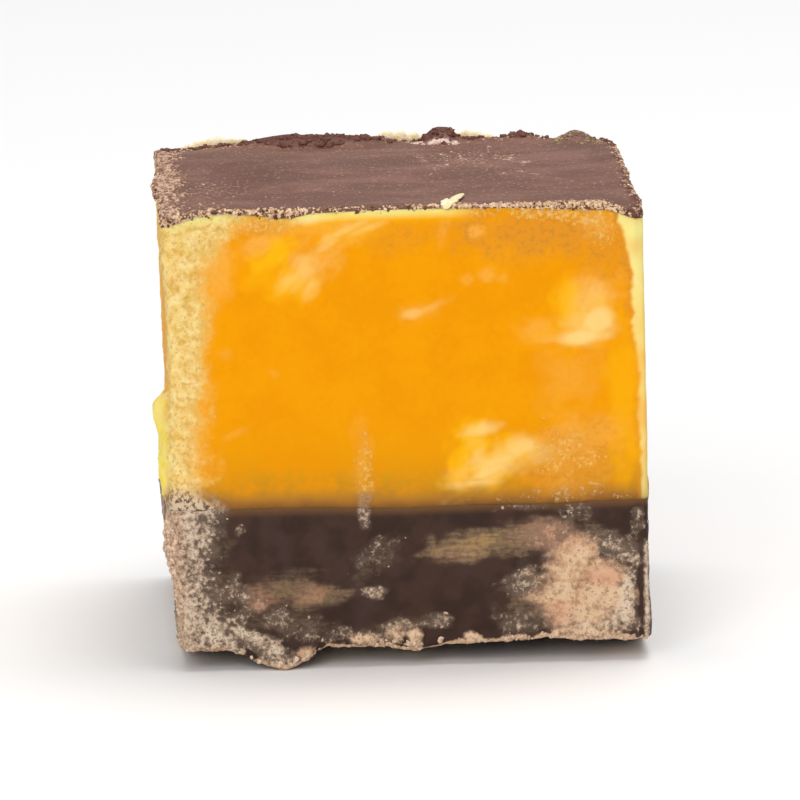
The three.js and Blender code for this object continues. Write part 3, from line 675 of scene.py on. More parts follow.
# Darker chocolate.
TOP_SHADES = patches(
    (0.4, -7.6, 1.6, 0.8, 0, 0.7), (-10.0, 0.0, 5.5, 14.0, 0, 0.95), (-11.5, 9.0, 4.0, 4.0, 0, 0.6),
    (-2.0, 4.0, 6.0, 3.0, 0, 0.3), (14.4, 5.0, 1.2, 7.0, 0, 0.5), (13.0, 9.8, 3.0, 2.0, 0, 0.4),
)


def rim_rust(x, y):
    """1 on the lumps of the skin's back edge and near its right edge, where the chocolate is redder."""
    from_back = BACK_Y - y + 0.6 * lumps(x, y, 0, 1.5, 361)
    from_right = RIGHT_X - x + 0.4 * lumps(x, y, 0, 1.0, 362)
    on_lumps = mix(1.4, 3.4, clamp01(1.4 * humps(BACK_RIM, x)))
    on_back = ease(from_back, on_lumps, on_lumps - 0.9) * mix(1.0, 0.3, ease(x, 11.0, 12.5))
    return np.maximum(on_back, 0.8 * ease(from_right, 1.1, 0.4))


def underside_cover(x, y):
    """How crumbly the underside is: most of it, in patches."""
    return clamp01(0.5 + 0.35 * lumps(x, y, 0, 5.0, 401) + 0.25 * lumps(x, y, 0, 1.4, 402))


# ---- The surfaces as grids -----------------------------------------------------------------------
FRONT_STEPS, SIDE_STEPS, BACK_STEPS = 304, 160, 128
BASE_ROWS, ORANGE_ROWS, SKIN_ROWS = 90, 118, 8
BASE_ROW_CROWDING = 1.2


def plan_loop():
    """Plan points round the square, counter-clockwise from the front left corner."""
    def side(start, end, steps):
        share = np.arange(steps)[:, None] / steps
        return mix(np.array(start), np.array(end), share)

    corners = ((LEFT_X, FRONT_Y), (RIGHT_X, FRONT_Y), (RIGHT_X, BACK_Y), (LEFT_X, BACK_Y))
    steps = (FRONT_STEPS, SIDE_STEPS, BACK_STEPS, SIDE_STEPS)
    sides = [side(corners[n], corners[(n + 1) % 4], steps[n]) for n in range(4)]
    return np.concatenate(sides).T


def outward(grid):
    """Unit normals of a closed grid: its step round crossed with its step up."""
    around = np.roll(grid, -1, axis=1) - np.roll(grid, 1, axis=1)
    up = np.gradient(grid, axis=0)
    normal = np.cross(around, up)
    return normal / np.linalg.norm(normal, axis=-1, keepdims=True)


def wall_grid():
    """The sides from foot to top: heights shared out between the level surfaces, then the walls moved
    out by the sides' shapes, drawn in by the roundings, and moved along their normals by the relief."""
    plan_x, plan_y = plan_loop()
    foot = underside_height(plan_x, plan_y)
    seam = base_seam_height(plan_x, plan_y)
    skin_seam = skin_seam_height(plan_x, plan_y)
    top = skin_top_height(plan_x, plan_y)

    def rows(low, high, count, crowding):
        share = (np.arange(count)[:, None] / count) ** crowding
        return mix(low, high, share)

    z = np.concatenate([
        rows(foot, seam, BASE_ROWS, BASE_ROW_CROWDING),
        rows(seam, skin_seam, ORANGE_ROWS, 1),
        rows(skin_seam, top, SKIN_ROWS, 1),
        top[None],
    ])
    skin_share = ease((z - skin_seam) / (top - skin_seam), 0, 0.4)
    inset = rounding_inset(z - foot, BOTTOM_ROUND) + rounding_inset(top - z, TOP_ROUND)
    grid = stand_out(plan_x, plan_y, z, skin_share, inset)
    x, y = grid[..., 0], grid[..., 1]
    marks = wall_marks(x, y, z, seam, skin_seam)
    marks["frost"] = mix(marks["frost"], rim_cover(x, y), skin_share)
    marks["rust"] = rim_rust(x, y)
    marks["fleck"] = marks["shade"] = marks["heap"] = np.zeros(x.shape)
    out = wall_relief(x, y, z, seam, marks)
    return grid + outward(grid) * out[..., None], marks


BOX_MARGIN = np.array([0.3, 0.3, 0.12])


def inside_cad_box(points):
    """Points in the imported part's frame, none outside the box of its solids: within a margin of the
    box's sides and top the way out is bent by a hyperbolic tangent, and the bottom is cut off."""
    low, high = (np.array(corner) / MM for corner in cad_box)
    middle, reach = (low + high) / 2, (high - low) / 2
    away = points + PLAN_SHIFT - middle
    over = np.abs(away) - (reach - BOX_MARGIN)
    bent = np.sign(away) * (reach - BOX_MARGIN + BOX_MARGIN * np.tanh(over / BOX_MARGIN))
    eased = np.where(over > 0, bent, away)
    eased[:, 2] = np.where(away[:, 2] < 0, np.maximum(away[:, 2], -reach[2]), eased[:, 2])
    return eased + middle


# ---- Meshes --------------------------------------------------------------------------------------
PLACE_MARGIN = 0.02  # of a region of the texture map


class Shell:
    """Collects the grids of one piece, then makes its mesh."""

    def __init__(self, mark_names):
        self.points, self.faces, self.maps, self.smooth = [], [], [], []
        self.marks = {name: [] for name in mark_names}
        self.count = 0

    def add_points(self, points, marks):
        """Adds points and their marks, and gives their numbers in the points' own layout."""
        flat = points.reshape(-1, 3)
        self.points.append(flat)
        for name, values in self.marks.items():
            values.append(marks[name].ravel())
        ids = np.arange(len(flat)).reshape(points.shape[:-1]) + self.count
        self.count += len(flat)
        return ids

    def add_faces(self, ids, places, smooth=True):
        """Adds faces by their points' numbers, with each corner's place on the texture map."""
        self.faces.append(ids)
        self.maps.append(places)
        self.smooth.append(np.full(len(ids), smooth))

    def flat_place(self, ids, region):
        """Places straight down onto a region (u, v, width, height) of the texture map."""
        points = np.concatenate(self.points)[ids]
        across, deep = points[..., 0] / WIDTH + 0.5, points[..., 1] / DEPTH + 0.5
        u = region[0] + region[2] * mix(PLACE_MARGIN, 1 - PLACE_MARGIN, across)
        v = region[1] + region[3] * mix(PLACE_MARGIN, 1 - PLACE_MARGIN, deep)
        return np.stack([u, v], axis=-1)

    def add_cap(self, edge, rings, face_down, region, smooth):
        """Joins an edge ring to ever smaller rings, the last of which is a single point. A cap that
        isn't smooth meets the wall in a crisp edge."""
        outer = edge
        for points, marks in rings:
            inner = self.add_points(points, marks)
            for ids in ring_faces(outer, inner):
                ids = ids[:, ::-1] if face_down else ids
                self.add_faces(ids, self.flat_place(ids, region), smooth)
            outer = inner

    def make(self, name, material, node):
        points = inside_cad_box(np.concatenate(self.points)) * MM
        mesh = bpy.data.meshes.new(name)
        fill_mesh(mesh, points, self.faces, np.concatenate(self.smooth))
        uv = mesh.uv_layers.new(name="OFBake")
        uv.uv.foreach_set("vector", np.concatenate([part.reshape(-1, 2) for part in self.maps]).ravel())
        for mark, parts in self.marks.items():
            values = np.concatenate(parts).astype(np.float32)
            mesh.attributes.new(mark, "FLOAT", "POINT").data.foreach_set("value", values)
        return show(mesh, name, material, node)


def fill_mesh(mesh, points, faces, smooth):
    """Puts points and faces, groups of quads or of triangles, into a mesh."""
    corners = np.concatenate([ids.ravel() for ids in faces]).astype(np.int32)
    sizes = np.concatenate([np.full(len(ids), ids.shape[1]) for ids in faces])
    starts = np.concatenate([[0], np.cumsum(sizes)[:-1]]).astype(np.int32)
    mesh.vertices.add(len(points))
    mesh.vertices.foreach_set("co", points.astype(np.float32).ravel())
    mesh.loops.add(len(corners))
    mesh.loops.foreach_set("vertex_index", corners)
    mesh.polygons.add(len(sizes))
    mesh.polygons.foreach_set("loop_start", starts)
    mesh.polygons.foreach_set("use_smooth", smooth)
    mesh.update(calc_edges=True)


def put_in_scene(name, data):
    """A new object for a mesh, a light or a camera."""
    made = bpy.data.objects.new(name, data)
    bpy.context.scene.collection.objects.link(made)
    return made


def show(mesh, name, material, node=None):
    """Makes a mesh a piece of the cube, which stands for a CAD node where one is named."""
    piece = put_in_scene(name, mesh)
    mesh.materials.append(material)
    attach(piece, "root")
    if node:
        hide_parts(node)
    return piece


def ring_faces(outer, inner):
    """Faces from a ring to the next one inwards: quads where it has as many points, three triangles
    for each inner step where it has half as many, and a fan where it is a single point."""
    if len(inner) == 1:
        return [np.stack([outer, np.roll(outer, -1), np.broadcast_to(inner, outer.shape)], axis=-1)]
    following = np.roll(inner, -1)
    if len(outer) == len(inner):
        return [np.stack([outer, np.roll(outer, -1), following, inner], axis=-1)]
    first, second, third = outer[::2], outer[1::2], np.roll(outer, -2)[::2]
    return [
        np.stack([first, second, inner], axis=-1),
        np.stack([inner, second, following], axis=-1),
        np.stack([second, third, following], axis=-1),
    ]


def wall_faces(ids):
    """Quads between neighbouring rows and columns, columns closing round."""
    low, high = ids[:-1], ids[1:]
    return np.stack([low, np.roll(low, -1, axis=1), np.roll(high, -1, axis=1), high], axis=-1)


def corner_places(corners):
    """Faces' places on the texture map, from the u and v of each of their corners."""
    return np.stack([np.stack(corner, axis=-1) for corner in corners], axis=-2)


STRIP_SHARE = 0.97  # how much of its strip's height the wall fills


def wall_places(rows, columns, low_v, high_v):
    """The wall laid out on the texture map as two strips one above the other, half its columns each."""
    half = columns // 2
    column = np.arange(columns)
    strip = column // half
    left = (column % half) / half
    right = left + 1 / half
    v = np.arange(rows) / (rows - 1)
    strip_height = (high_v - low_v) / 2
    bottom = low_v + strip * strip_height
    v_low = bottom + STRIP_SHARE * strip_height * v[:-1, None]
    v_high = bottom + STRIP_SHARE * strip_height * v[1:, None]
    shape = v_low.shape
    left, right = np.broadcast_to(left, shape), np.broadcast_to(right, shape)
    return corner_places(((left, v_low), (right, v_low), (right, v_high), (left, v_high)))


# Rings of the caps from the wall inwards: the share of the plan's size, and the step between the
# plan's points that are used.
HIDDEN_RINGS = ((0.97, 2), (0.9, 4), (0.6, 8), (0.25, 8))
FINE_RINGS = (
    *((share, 1) for share in np.linspace(0.994, 0.80, 24)),
    *((share, 2) for share in np.linspace(0.785, 0.5, 20)),
    *((share, 4) for share in np.linspace(0.48, 0.22, 16)),
    *((share, 8) for share in np.linspace(0.19, 0.02, 9)),
)


def cap_rings(rings, height_at, inset, skin_share, marks_at, relief_at):
    """The plan loop shrunk by each ring's share, lifted to the level surface and moved by the relief.
    The middle of the plan ends it as a single point."""
    plan_x, plan_y = plan_loop()
    made = []
    for share, span in (*rings, (0.0, len(plan_x))):
        x, y = plan_x[::span] * share, plan_y[::span] * share
        points = stand_out(x, y, height_at(x, y), skin_share, inset)
        marks = marks_at(points[:, 0], points[:, 1])
        points[:, 2] += relief_at(points[:, 0], points[:, 1], marks)
        made.append((points, marks))
    return made


# The marks that each layer's finish reads.
ORANGE_MARKS = ("frost", "grain", "yellow", "cream", "lemon", "drip", "peach", "brown", "above_seam")
BASE_MARKS = ("frost", "rosy", "foot", "olive", "pink", "above_seam")
SKIN_MARKS = ("frost", "rust", "fleck", "shade", "heap")


def no_marks(x, y):
    """No mark at all, as on a seam's inside, which never shows."""
    return {name: np.zeros(x.shape) for name in {*ORANGE_MARKS, *BASE_MARKS, *SKIN_MARKS}}


def no_relief(x, y, marks):
    return 0.0


def hidden_cap(height_at):
    return cap_rings(HIDDEN_RINGS, height_at, 0.0, 0.0, no_marks, no_relief)


def underside_cap():
    """The base's underside: crumbs pressed flat, so that its relief only goes up from the table."""
    def marks_at(x, y):
        found = {"frost": underside_cover(x, y), "above_seam": np.full(x.shape, -BASE_HEIGHT)}
        return {**no_marks(x, y), **found, "rosy": clamp01(lumps(x, y, 0, 3.0, 412))}

    def relief_at(x, y, marks):
        return 0.12 * marks["frost"] * clamp01(0.5 + lumps(x, y, 0, 0.8, 411)) + 0.02

    return cap_rings(FINE_RINGS, underside_height, BOTTOM_ROUND, 0.0, marks_at, relief_at)


def skin_cap():
    def marks_at(x, y):
        return {
            **no_marks(x, y), "frost": rim_cover(x, y), "rust": rim_rust(x, y),
            "fleck": painted(TOP_FLECKS, x, y, FLECK_DRAW), "shade": painted(TOP_SHADES, x, y, 381),
            "heap": painted(PALE_HEAP, x, y, HEAP_DRAW),
        }

    def relief_at(x, y, marks):
        return top_relief(x, y, marks["frost"])

    return cap_rings(FINE_RINGS, skin_top_height, TOP_ROUND, 1.0, marks_at, relief_at)


# ---- Materials -----------------------------------------------------------------------------------
def paint(red, green, blue):
    """A screen colour, 0 to 255 a channel, as the linear colour that a shader takes."""
    def linear(value):
        share = value / 255
        return share / 12.92 if share <= 0.04045 else ((share + 0.055) / 1.055) ** 2.4

    return linear(red), linear(green), linear(blue), 1.0


def stops(*rows):
    """A colour ramp's stops, from rows of a place and a screen colour."""
    return tuple((place, paint(*colour)) for place, *colour in rows)


class Finish:
    """A material under construction, with short ways to add the nodes that the fudge needs."""

    def __init__(self, name):
        self.material = bpy.data.materials.new(name)
        self.material.use_nodes = True
        self.tree = self.material.node_tree
        self.surface = self.tree.nodes["Principled BSDF"]
        self.object_place = self.node("ShaderNodeTexCoord").outputs["Object"]

    def node(self, kind, inputs=None, **settings):
        """Adds a node, sets its settings, and sets or links its inputs by name or number."""
        made = self.tree.nodes.new(kind)
        for name, value in settings.items():
            setattr(made, name, value)
        for name, value in (inputs or {}).items():
            self.put(made.inputs[name], value)
        return made

    def put(self, socket, value):
        if isinstance(value, bpy.types.NodeSocket):
            self.tree.links.new(value, socket)
        else:
            socket.default_value = value

    def mark(self, name):
        """A value painted on the piece's points."""
        return self.node("ShaderNodeAttribute", attribute_name=name).outputs["Fac"]

    def grain(self, size, detail=2.0, roughness=0.5, stretch=(1, 1, 1)):
        """Noise with grains of that size in millimetres, drawn out where a stretch is over 1."""
        scale = [1 / factor for factor in stretch]
        place = self.node("ShaderNodeMapping", {"Vector": self.object_place, "Scale": scale}).outputs[0]
        inputs = {"Vector": place, "Scale": 1 / (size * MM), "Detail": detail, "Roughness": roughness}
        return self.node("ShaderNodeTexNoise", inputs).outputs["Fac"]

    def math(self, operation, first, second, third=0.5):
        inputs = {0: first, 1: second, 2: third}
        return self.node("ShaderNodeMath", inputs, operation=operation).outputs[0]

    def times(self, first, second):
        return self.math("MULTIPLY", first, second)

    def scaled(self, value, factor, offset):
        """The value times a factor, plus an offset."""
        return self.math("MULTIPLY_ADD", value, factor, offset)

    def ranged(self, value, start, end, low=0.0, high=1.0):
        """Low at start and high at end, eased between them."""
        inputs = {"Value": value, "From Min": start, "From Max": end, "To Min": low, "To Max": high}
        return self.node("ShaderNodeMapRange", inputs, interpolation_type="SMOOTHSTEP").outputs[0]

    def mixed(self, share, first, second):
        """First colour where the share is 0, second where it is 1."""
        made = self.node("ShaderNodeMix", {0: share, 6: first, 7: second}, data_type="RGBA")
        return made.outputs[2]

    def ramp(self, value, colours):
        """Colours at given values, mixed evenly between them."""
        made = self.node("ShaderNodeValToRGB", {"Fac": value})
        elements = made.color_ramp.elements
        while len(elements) < len(colours):
            elements.new(1.0)
        for element, (place, colour) in zip(elements, colours):
            element.position = place
            element.color = colour
        return made.outputs["Color"]

    def swung(self, cover, grain, gain):
        """A cover made grainy: gain times the grain's swing is added, less of it where there is
        hardly any cover and where the cover is thick."""
        swing = self.scaled(grain, gain, -gain / 2)
        share = self.times(self.ranged(cover, 0.0, 0.35), self.ranged(cover, 0.7, 1.2, 1.0, 0.5))
        return self.scaled(swing, share, cover)

    def bumped(self, height, depth, strength=1.0):
        """A bump of that depth in millimetres where the height goes from 0 to 1."""
        inputs = {"Height": height, "Distance": depth * MM, "Strength": strength}
        return self.node("ShaderNodeBump", inputs).outputs[0]

    def set(self, **values):
        """Sets or links the surface's sockets, named with underscores for spaces."""
        for name, value in values.items():
            self.put(self.surface.inputs[name.replace("_", " ")], value)


FUDGE_IOR = 1.45
ORANGE_DEEP = paint(238, 152, 1)
YELLOW_SMEAR = paint(253, 186, 14)
CREAM_SMEAR = paint(252, 216, 138)
LEMON_LIP = paint(249, 234, 148)
DRIP_YELLOW = paint(252, 224, 86)
DRIP_PALE = paint(252, 226, 128)
PEACH_BLOOM = paint(249, 180, 76)
FROST_STOPS = stops(
    (0.15, 246, 171, 48), (0.50, 242, 186, 88), (0.80, 240, 197, 114), (1.0, 244, 211, 134),
)
SEAM_FROST_STOPS = stops(
    (0.15, 118, 86, 58), (0.50, 166, 132, 100), (0.80, 196, 164, 132), (1.0, 220, 194, 164),
)
FROST_PORE = paint(204, 158, 84)
FROST_OLIVE = paint(226, 184, 88)
FROST_LIGHT = paint(251, 229, 160)
SEAM_PORE = paint(94, 70, 54)
GRAIN_STOPS = stops((0.3, 226, 156, 62), (0.6, 238, 178, 86), (1.0, 246, 202, 124))
SEAM_CRUMB_STOPS = stops((0.3, 124, 86, 50), (0.55, 184, 138, 84), (0.9, 218, 178, 124))
BROWN_AND_PAINTED_SHADE = paint(226, 150, 40)
BROWN_SPECK = paint(196, 130, 52)
SEAM_REACH = 10.0  # how far above the base's seam the orange is darkened by it
SEAM_COLOURS = stops(
    (0.0, 132, 90, 44), (0.03, 156, 106, 48), (0.06, 178, 122, 46), (0.09, 186, 131, 42),
    (0.14, 200, 142, 33), (0.20, 213, 149, 25), (0.29, 230, 155, 11), (0.39, 237, 158, 5),
    (0.60, 243, 161, 3), (1.0, 244, 161, 1),
)
SEAM_BROWN = paint(104, 70, 39)
DARK_FUDGE = paint(52, 33, 24)
DARK_WARM = paint(65, 43, 33)
DARK_PURPLE = paint(66, 45, 39)
GREY_STOPS = stops(
    (0.0, 60, 42, 33), (0.30, 98, 79, 66), (0.55, 150, 127, 108), (0.80, 196, 170, 146),
    (1.0, 226, 206, 182),
)
ROSY_STOPS = stops(
    (0.0, 70, 48, 38), (0.30, 124, 94, 76), (0.55, 176, 138, 112), (0.80, 204, 161, 125),
    (1.0, 227, 193, 157),
)
OLIVE_STOPS = stops((0.0, 72, 54, 42), (0.4, 108, 86, 66), (0.7, 132, 106, 74), (1.0, 156, 126, 82))
FOOT_CRUMB = paint(234, 200, 164)
GREY_DUST = paint(108, 92, 78)
ROSY_DUST = paint(160, 126, 98)
STREAK_PINK = paint(176, 132, 104)
PINK_CRUMB = paint(214, 150, 120)
SKIN_MAUVE = paint(132, 92, 78)
SKIN_DEEP = paint(112, 75, 61)
SKIN_RUST = paint(96, 54, 41)
SKIN_PALE = paint(232, 204, 188)
SKIN_FLECK = paint(178, 138, 118)
SKIN_SHADE = paint(100, 62, 50)
CRUMB_STOPS = stops((0.30, 78, 46, 32), (0.48, 124, 86, 68), (0.68, 182, 142, 118), (1.0, 222, 190, 164))


def orange_ground(f, above, fine):
    """Orange fudge under its crumb: brown at the seam, mottled, browned by grain and by painted shade,
    speckled, bloomed and smeared.
    """
    by_height = f.ramp(f.math("DIVIDE", above, SEAM_REACH), SEAM_COLOURS)
    mottle = f.scaled(f.grain(0.5, 3.0), 0.3, f.times(f.grain(2.6, 3.0), 0.7))
    ground = f.mixed(f.ranged(mottle, 0.38, 0.64, 0.0, 0.7), by_height, ORANGE_DEEP)
    ground = f.mixed(f.ranged(above, 1.6, 0.4), ground, by_height)
    # Brown grain, and painted shade: the shadow along the right lip's inner edge, and the duller tone of
    # the other sides.
    ground = f.mixed(f.mark("brown"), ground, BROWN_AND_PAINTED_SHADE)
    specks = f.times(f.mark("brown"), f.ranged(fine, 0.52, 0.34))
    ground = f.mixed(f.times(specks, 0.6), ground, BROWN_SPECK)
    peach = f.times(f.mark("peach"), f.ranged(fine, 0.3, 0.6, 0.6, 1.0))
    ground = f.mixed(peach, ground, PEACH_BLOOM)
    ground = f.mixed(f.mark("yellow"), ground, YELLOW_SMEAR)
    return f.mixed(f.mark("cream"), ground, CREAM_SMEAR)


def orange_frost(f, ground, frost, by_seam, fine):
    """Pale crumb over the ground, in olive and light blotches and with pores, greyer by the seam."""
    mark = f.mark("frost")
    frost_colour = f.mixed(by_seam, f.ramp(frost, FROST_STOPS), f.ramp(frost, SEAM_FROST_STOPS))
    frosted = f.math("MAXIMUM", frost, f.times(mark, 0.8))
    colour = f.mixed(f.ranged(frosted, 0.0, 0.75), ground, frost_colour)
    thick = f.math("SUBTRACT", f.ranged(mark, 0.3, 0.9), by_seam)
    blotches = f.grain(0.75, 5.0, 0.62)
    colour = f.mixed(f.times(thick, f.ranged(blotches, 0.50, 0.38, 0.0, 0.75)), colour, FROST_OLIVE)
    colour = f.mixed(f.times(thick, f.ranged(blotches, 0.50, 0.64, 0.0, 0.75)), colour, FROST_LIGHT)
    pitting = f.scaled(by_seam, -0.05, fine)
    pores = f.times(f.ranged(pitting, 0.47, 0.36), f.ranged(mark, 0.4, 0.9))
    pore_colour = f.mixed(by_seam, FROST_PORE, SEAM_PORE)
    return f.mixed(f.times(pores, f.scaled(by_seam, 0.4, 0.5)), colour, pore_colour)


def orange_finish():
    """Satin orange fudge: paler along smears, grainy and pale where frosted, brown towards the base."""
    f = Finish("orange_fudge")
    fine = f.grain(0.34, 4.0, 0.6)
    above = f.math("ADD", f.mark("above_seam"), f.scaled(f.grain(1.1, 2.0), 0.4, -0.2))
    by_seam = f.ranged(above, 2.2, 0.6)
    frost = f.swung(f.mark("frost"), fine, 0.9)
    colour = orange_frost(f, orange_ground(f, above, fine), frost, by_seam, fine)
    grains = f.swung(f.mark("grain"), f.grain(0.26, 3.0, 0.6), 2.4)
    low_down = f.ranged(above, 1.7, 0.6)
    grain_colour = f.mixed(low_down, f.ramp(grains, GRAIN_STOPS), f.ramp(grains, SEAM_CRUMB_STOPS))
    colour = f.mixed(f.ranged(grains, 0.25, 0.75, 0.0, 0.85), colour, grain_colour)
    colour = f.mixed(f.mark("lemon"), colour, LEMON_LIP)
    drip_colour = f.mixed(f.ranged(f.grain(2.2, 3.0, 0.6), 0.42, 0.6), DRIP_YELLOW, DRIP_PALE)
    colour = f.mixed(f.mark("drip"), colour, drip_colour)
    cover = f.math("MAXIMUM", frost, grains)
    height = f.scaled(cover, fine, f.times(f.grain(0.5, 3.0), 0.12))
    rough = f.scaled(cover, 0.25, f.ranged(f.grain(0.35, 3.0), 0.3, 0.7, 0.38, 0.54))
    f.set(Base_Color=colour, Roughness=rough, Normal=f.bumped(height, 0.12))
    f.set(IOR=FUDGE_IOR, Specular_IOR_Level=0.04)
    f.set(Subsurface_Weight=0.35, Subsurface_Radius=(1.0, 0.35, 0.06), Subsurface_Scale=0.8 * MM)
    return f.material


def dark_ground(f):
    """Dark fudge under its crumb: clouded, combed with olive and pink, brown at the seam, dusted."""
    ground = f.mixed(f.ranged(f.grain(1.6, 3.0), 0.38, 0.66), DARK_FUDGE, DARK_WARM)
    ground = f.mixed(f.ranged(f.grain(3.5, 2.0), 0.5, 0.66), ground, DARK_PURPLE)
    combed = f.ranged(f.grain(0.25, 4.0, 0.6, stretch=(6, 6, 1)), 0.36, 0.6, 0.6, 1.0)
    lines = f.times(combed, f.ranged(f.grain(0.32, 3.0), 0.38, 0.56, 0.72, 1.06))
    olive = f.times(f.mark("olive"), lines)
    ground = f.mixed(f.ranged(olive, 0.0, 0.45), ground, f.ramp(olive, OLIVE_STOPS))
    ground = f.mixed(f.times(f.mark("pink"), lines), ground, STREAK_PINK)
    ground = f.mixed(f.ranged(f.mark("above_seam"), -0.7, 0.0), ground, SEAM_BROWN)
    patchy = f.scaled(f.grain(0.9, 4.0, 0.62), 0.5, f.math("ADD", f.mark("frost"), -0.25))
    thin = f.ranged(f.mark("frost"), 0.6, 1.0, 1.0, 0.3)
    dusty = f.times(f.ranged(patchy, 0.14, 0.58, 0.0, 0.85), thin)
    return f.mixed(dusty, ground, f.mixed(f.mark("rosy"), GREY_DUST, ROSY_DUST))


def dark_crumb(f, crumb, fine):
    """The crumb's colour: grey or rosy, pinker in the pink streaks and paler along the foot."""
    rosy = f.mark("rosy")
    colour = f.mixed(rosy, f.ramp(crumb, GREY_STOPS), f.ramp(crumb, ROSY_STOPS))
    pinker = f.times(f.times(f.mark("pink"), rosy), 0.6)
    colour = f.mixed(pinker, colour, PINK_CRUMB)
    return f.mixed(f.times(f.mark("foot"), f.ranged(fine, 0.4, 0.55)), colour, FOOT_CRUMB)


def dark_finish():
    """Dark fudge: nearly black brown, streaked olive and pink, with beige crumb over dark pores."""
    f = Finish("dark_fudge")
    fine = f.scaled(f.grain(0.28, 3.0, 0.6), 0.65, f.times(f.grain(0.6, 3.0, 0.6), 0.35))
    gritty = f.swung(f.mark("frost"), fine, 2.9)
    soft = f.swung(f.mark("frost"), f.grain(0.7, 4.0, 0.62), 1.9)
    softness = f.times(f.mark("rosy"), 0.55)
    crumb = f.scaled(f.math("SUBTRACT", soft, gritty), softness, gritty)
    colour = f.mixed(f.ranged(crumb, 0.18, 0.85), dark_ground(f), dark_crumb(f, crumb, fine))
    height = f.scaled(crumb, fine, f.times(f.grain(0.4, 3.0), 0.2))
    rough = f.scaled(crumb, 0.3, f.ranged(f.grain(0.5, 3.0), 0.3, 0.7, 0.38, 0.52))
    f.set(Base_Color=colour, Roughness=rough, Normal=f.bumped(height, 0.16))
    f.set(IOR=FUDGE_IOR, Specular_IOR_Level=0.22)
    return f.material


def skin_finish():
    """Chocolate skin: mauve-brown with faint streaks from left to right, rosy crumbs on its rim."""
    f = Finish("chocolate_skin")
    fine = f.grain(0.32, 4.0, 0.66, stretch=(1, 2, 1))
    streaks = f.grain(0.4, 4.0, 0.6, stretch=(6, 1, 1))
    clouds = f.scaled(f.grain(3.0, 4.0, stretch=(2, 1, 1)), 0.7, f.times(streaks, 0.3))
    ground = f.mixed(f.ranged(clouds, 0.4, 0.6), SKIN_DEEP, SKIN_MAUVE)
    ground = f.mixed(f.times(f.mark("shade"), 0.8), ground, SKIN_SHADE)
    specks = f.grain(0.22, 2.0, 0.6, stretch=(1, 2, 1))
    flecks = f.ranged(f.scaled(f.mark("fleck"), 0.2, specks), 0.56, 0.74, 0.0, 0.7)
    ground = f.mixed(flecks, ground, SKIN_FLECK)
    ground = f.mixed(f.ranged(f.mark("rust"), 0.2, 0.8), ground, SKIN_RUST)
    ground = f.mixed(f.times(f.mark("heap"), f.ranged(fine, 0.42, 0.56)), ground, SKIN_PALE)
    crumb = f.swung(f.mark("frost"), fine, 3.0)
    colour = f.mixed(f.ranged(crumb, 0.25, 0.48), ground, f.ramp(crumb, CRUMB_STOPS))
    height = f.scaled(crumb, fine, f.times(streaks, 0.25))
    rough = f.scaled(crumb, 0.3, f.ranged(streaks, 0.3, 0.7, 0.42, 0.58))
    f.set(Base_Color=colour, Roughness=rough, Normal=f.bumped(height, 0.12))
    f.set(IOR=FUDGE_IOR, Specular_IOR_Level=0.35)
    return f.material


def crumb_finish(name, pale, deep, size):
    """Crumb of two colours, mottled, with a gritty bump."""
    f = Finish(name)
    mottle = f.grain(size, 2.0)
    grit = f.bumped(f.grain(size / 3, 2.0), 0.05)
    f.set(Base_Color=f.mixed(f.ranged(mottle, 0.38, 0.62), pale, deep), Normal=grit)
    f.set(Roughness=f.ranged(mottle, 0.3, 0.7, 0.55, 0.85), IOR=FUDGE_IOR)
    return f.material


# ---- The layers ----------------------------------------------------------------------------------
def rows_of(grid, marks, start, end):
    return grid[start:end], {name: value[start:end] for name, value in marks.items()}


def layer_piece(name, material, node, mark_names, wall, strips, floor, roof):
    """One layer: its rows of the wall, closed by a floor cap and a roof cap. The wall's strips on the
    texture map are given as their lowest and highest v, and each cap as its rings, its region of the
    map and whether it is smooth."""
    shell = Shell(mark_names)
    grid, marks = wall
    ids = shell.add_points(grid, marks)
    quads = wall_faces(ids)
    rows, columns = ids.shape
    shell.add_faces(quads.reshape(-1, 4), wall_places(rows, columns, *strips).reshape(-1, 4, 2))
    shell.add_cap(ids[0], floor[0], True, *floor[1:])
    shell.add_cap(ids[-1], roof[0], False, *roof[1:])
    return shell.make(name, material, node)


def build_layers():
    grid, marks = wall_grid()
    seam_row = BASE_ROWS
    skin_row = BASE_ROWS + ORANGE_ROWS
    last_row = skin_row + SKIN_ROWS + 1
    base_wall = rows_of(grid, marks, 0, seam_row + 1)
    orange_wall = rows_of(grid, marks, seam_row, skin_row + 1)
    skin_wall = rows_of(grid, marks, skin_row, last_row)
    layer_piece(
        "base_fudge", dark_finish(), "dark_base", BASE_MARKS, base_wall, (0.0, 0.44),
        floor=(underside_cap(), (0.0, 0.46, 0.54, 0.54), True),
        roof=(hidden_cap(base_seam_height), (0.6, 0.6, 0.1, 0.1), False),
    )
    layer_piece(
        "orange_fudge", orange_finish(), "orange_layer", ORANGE_MARKS, orange_wall,
        (0.0, 0.88),
        floor=(hidden_cap(base_seam_height), (0.0, 0.9, 0.1, 0.1), False),
        roof=(hidden_cap(skin_seam_height), (0.2, 0.9, 0.1, 0.1), False),
    )
    layer_piece(
        "chocolate_skin", skin_finish(), "chocolate_top", SKIN_MARKS, skin_wall,
        (0.88, 1.0),
        floor=(hidden_cap(skin_seam_height), (0.9, 0.1, 0.08, 0.08), False),
        roof=(skin_cap(), (0.0, 0.0, 0.87, 0.87), True),
    )
    return grid, marks


# ---- Crumbs, flakes and slivers ------------------------------------------------------------------
BALL_RINGS, BALL_SPOKES = 4, 6


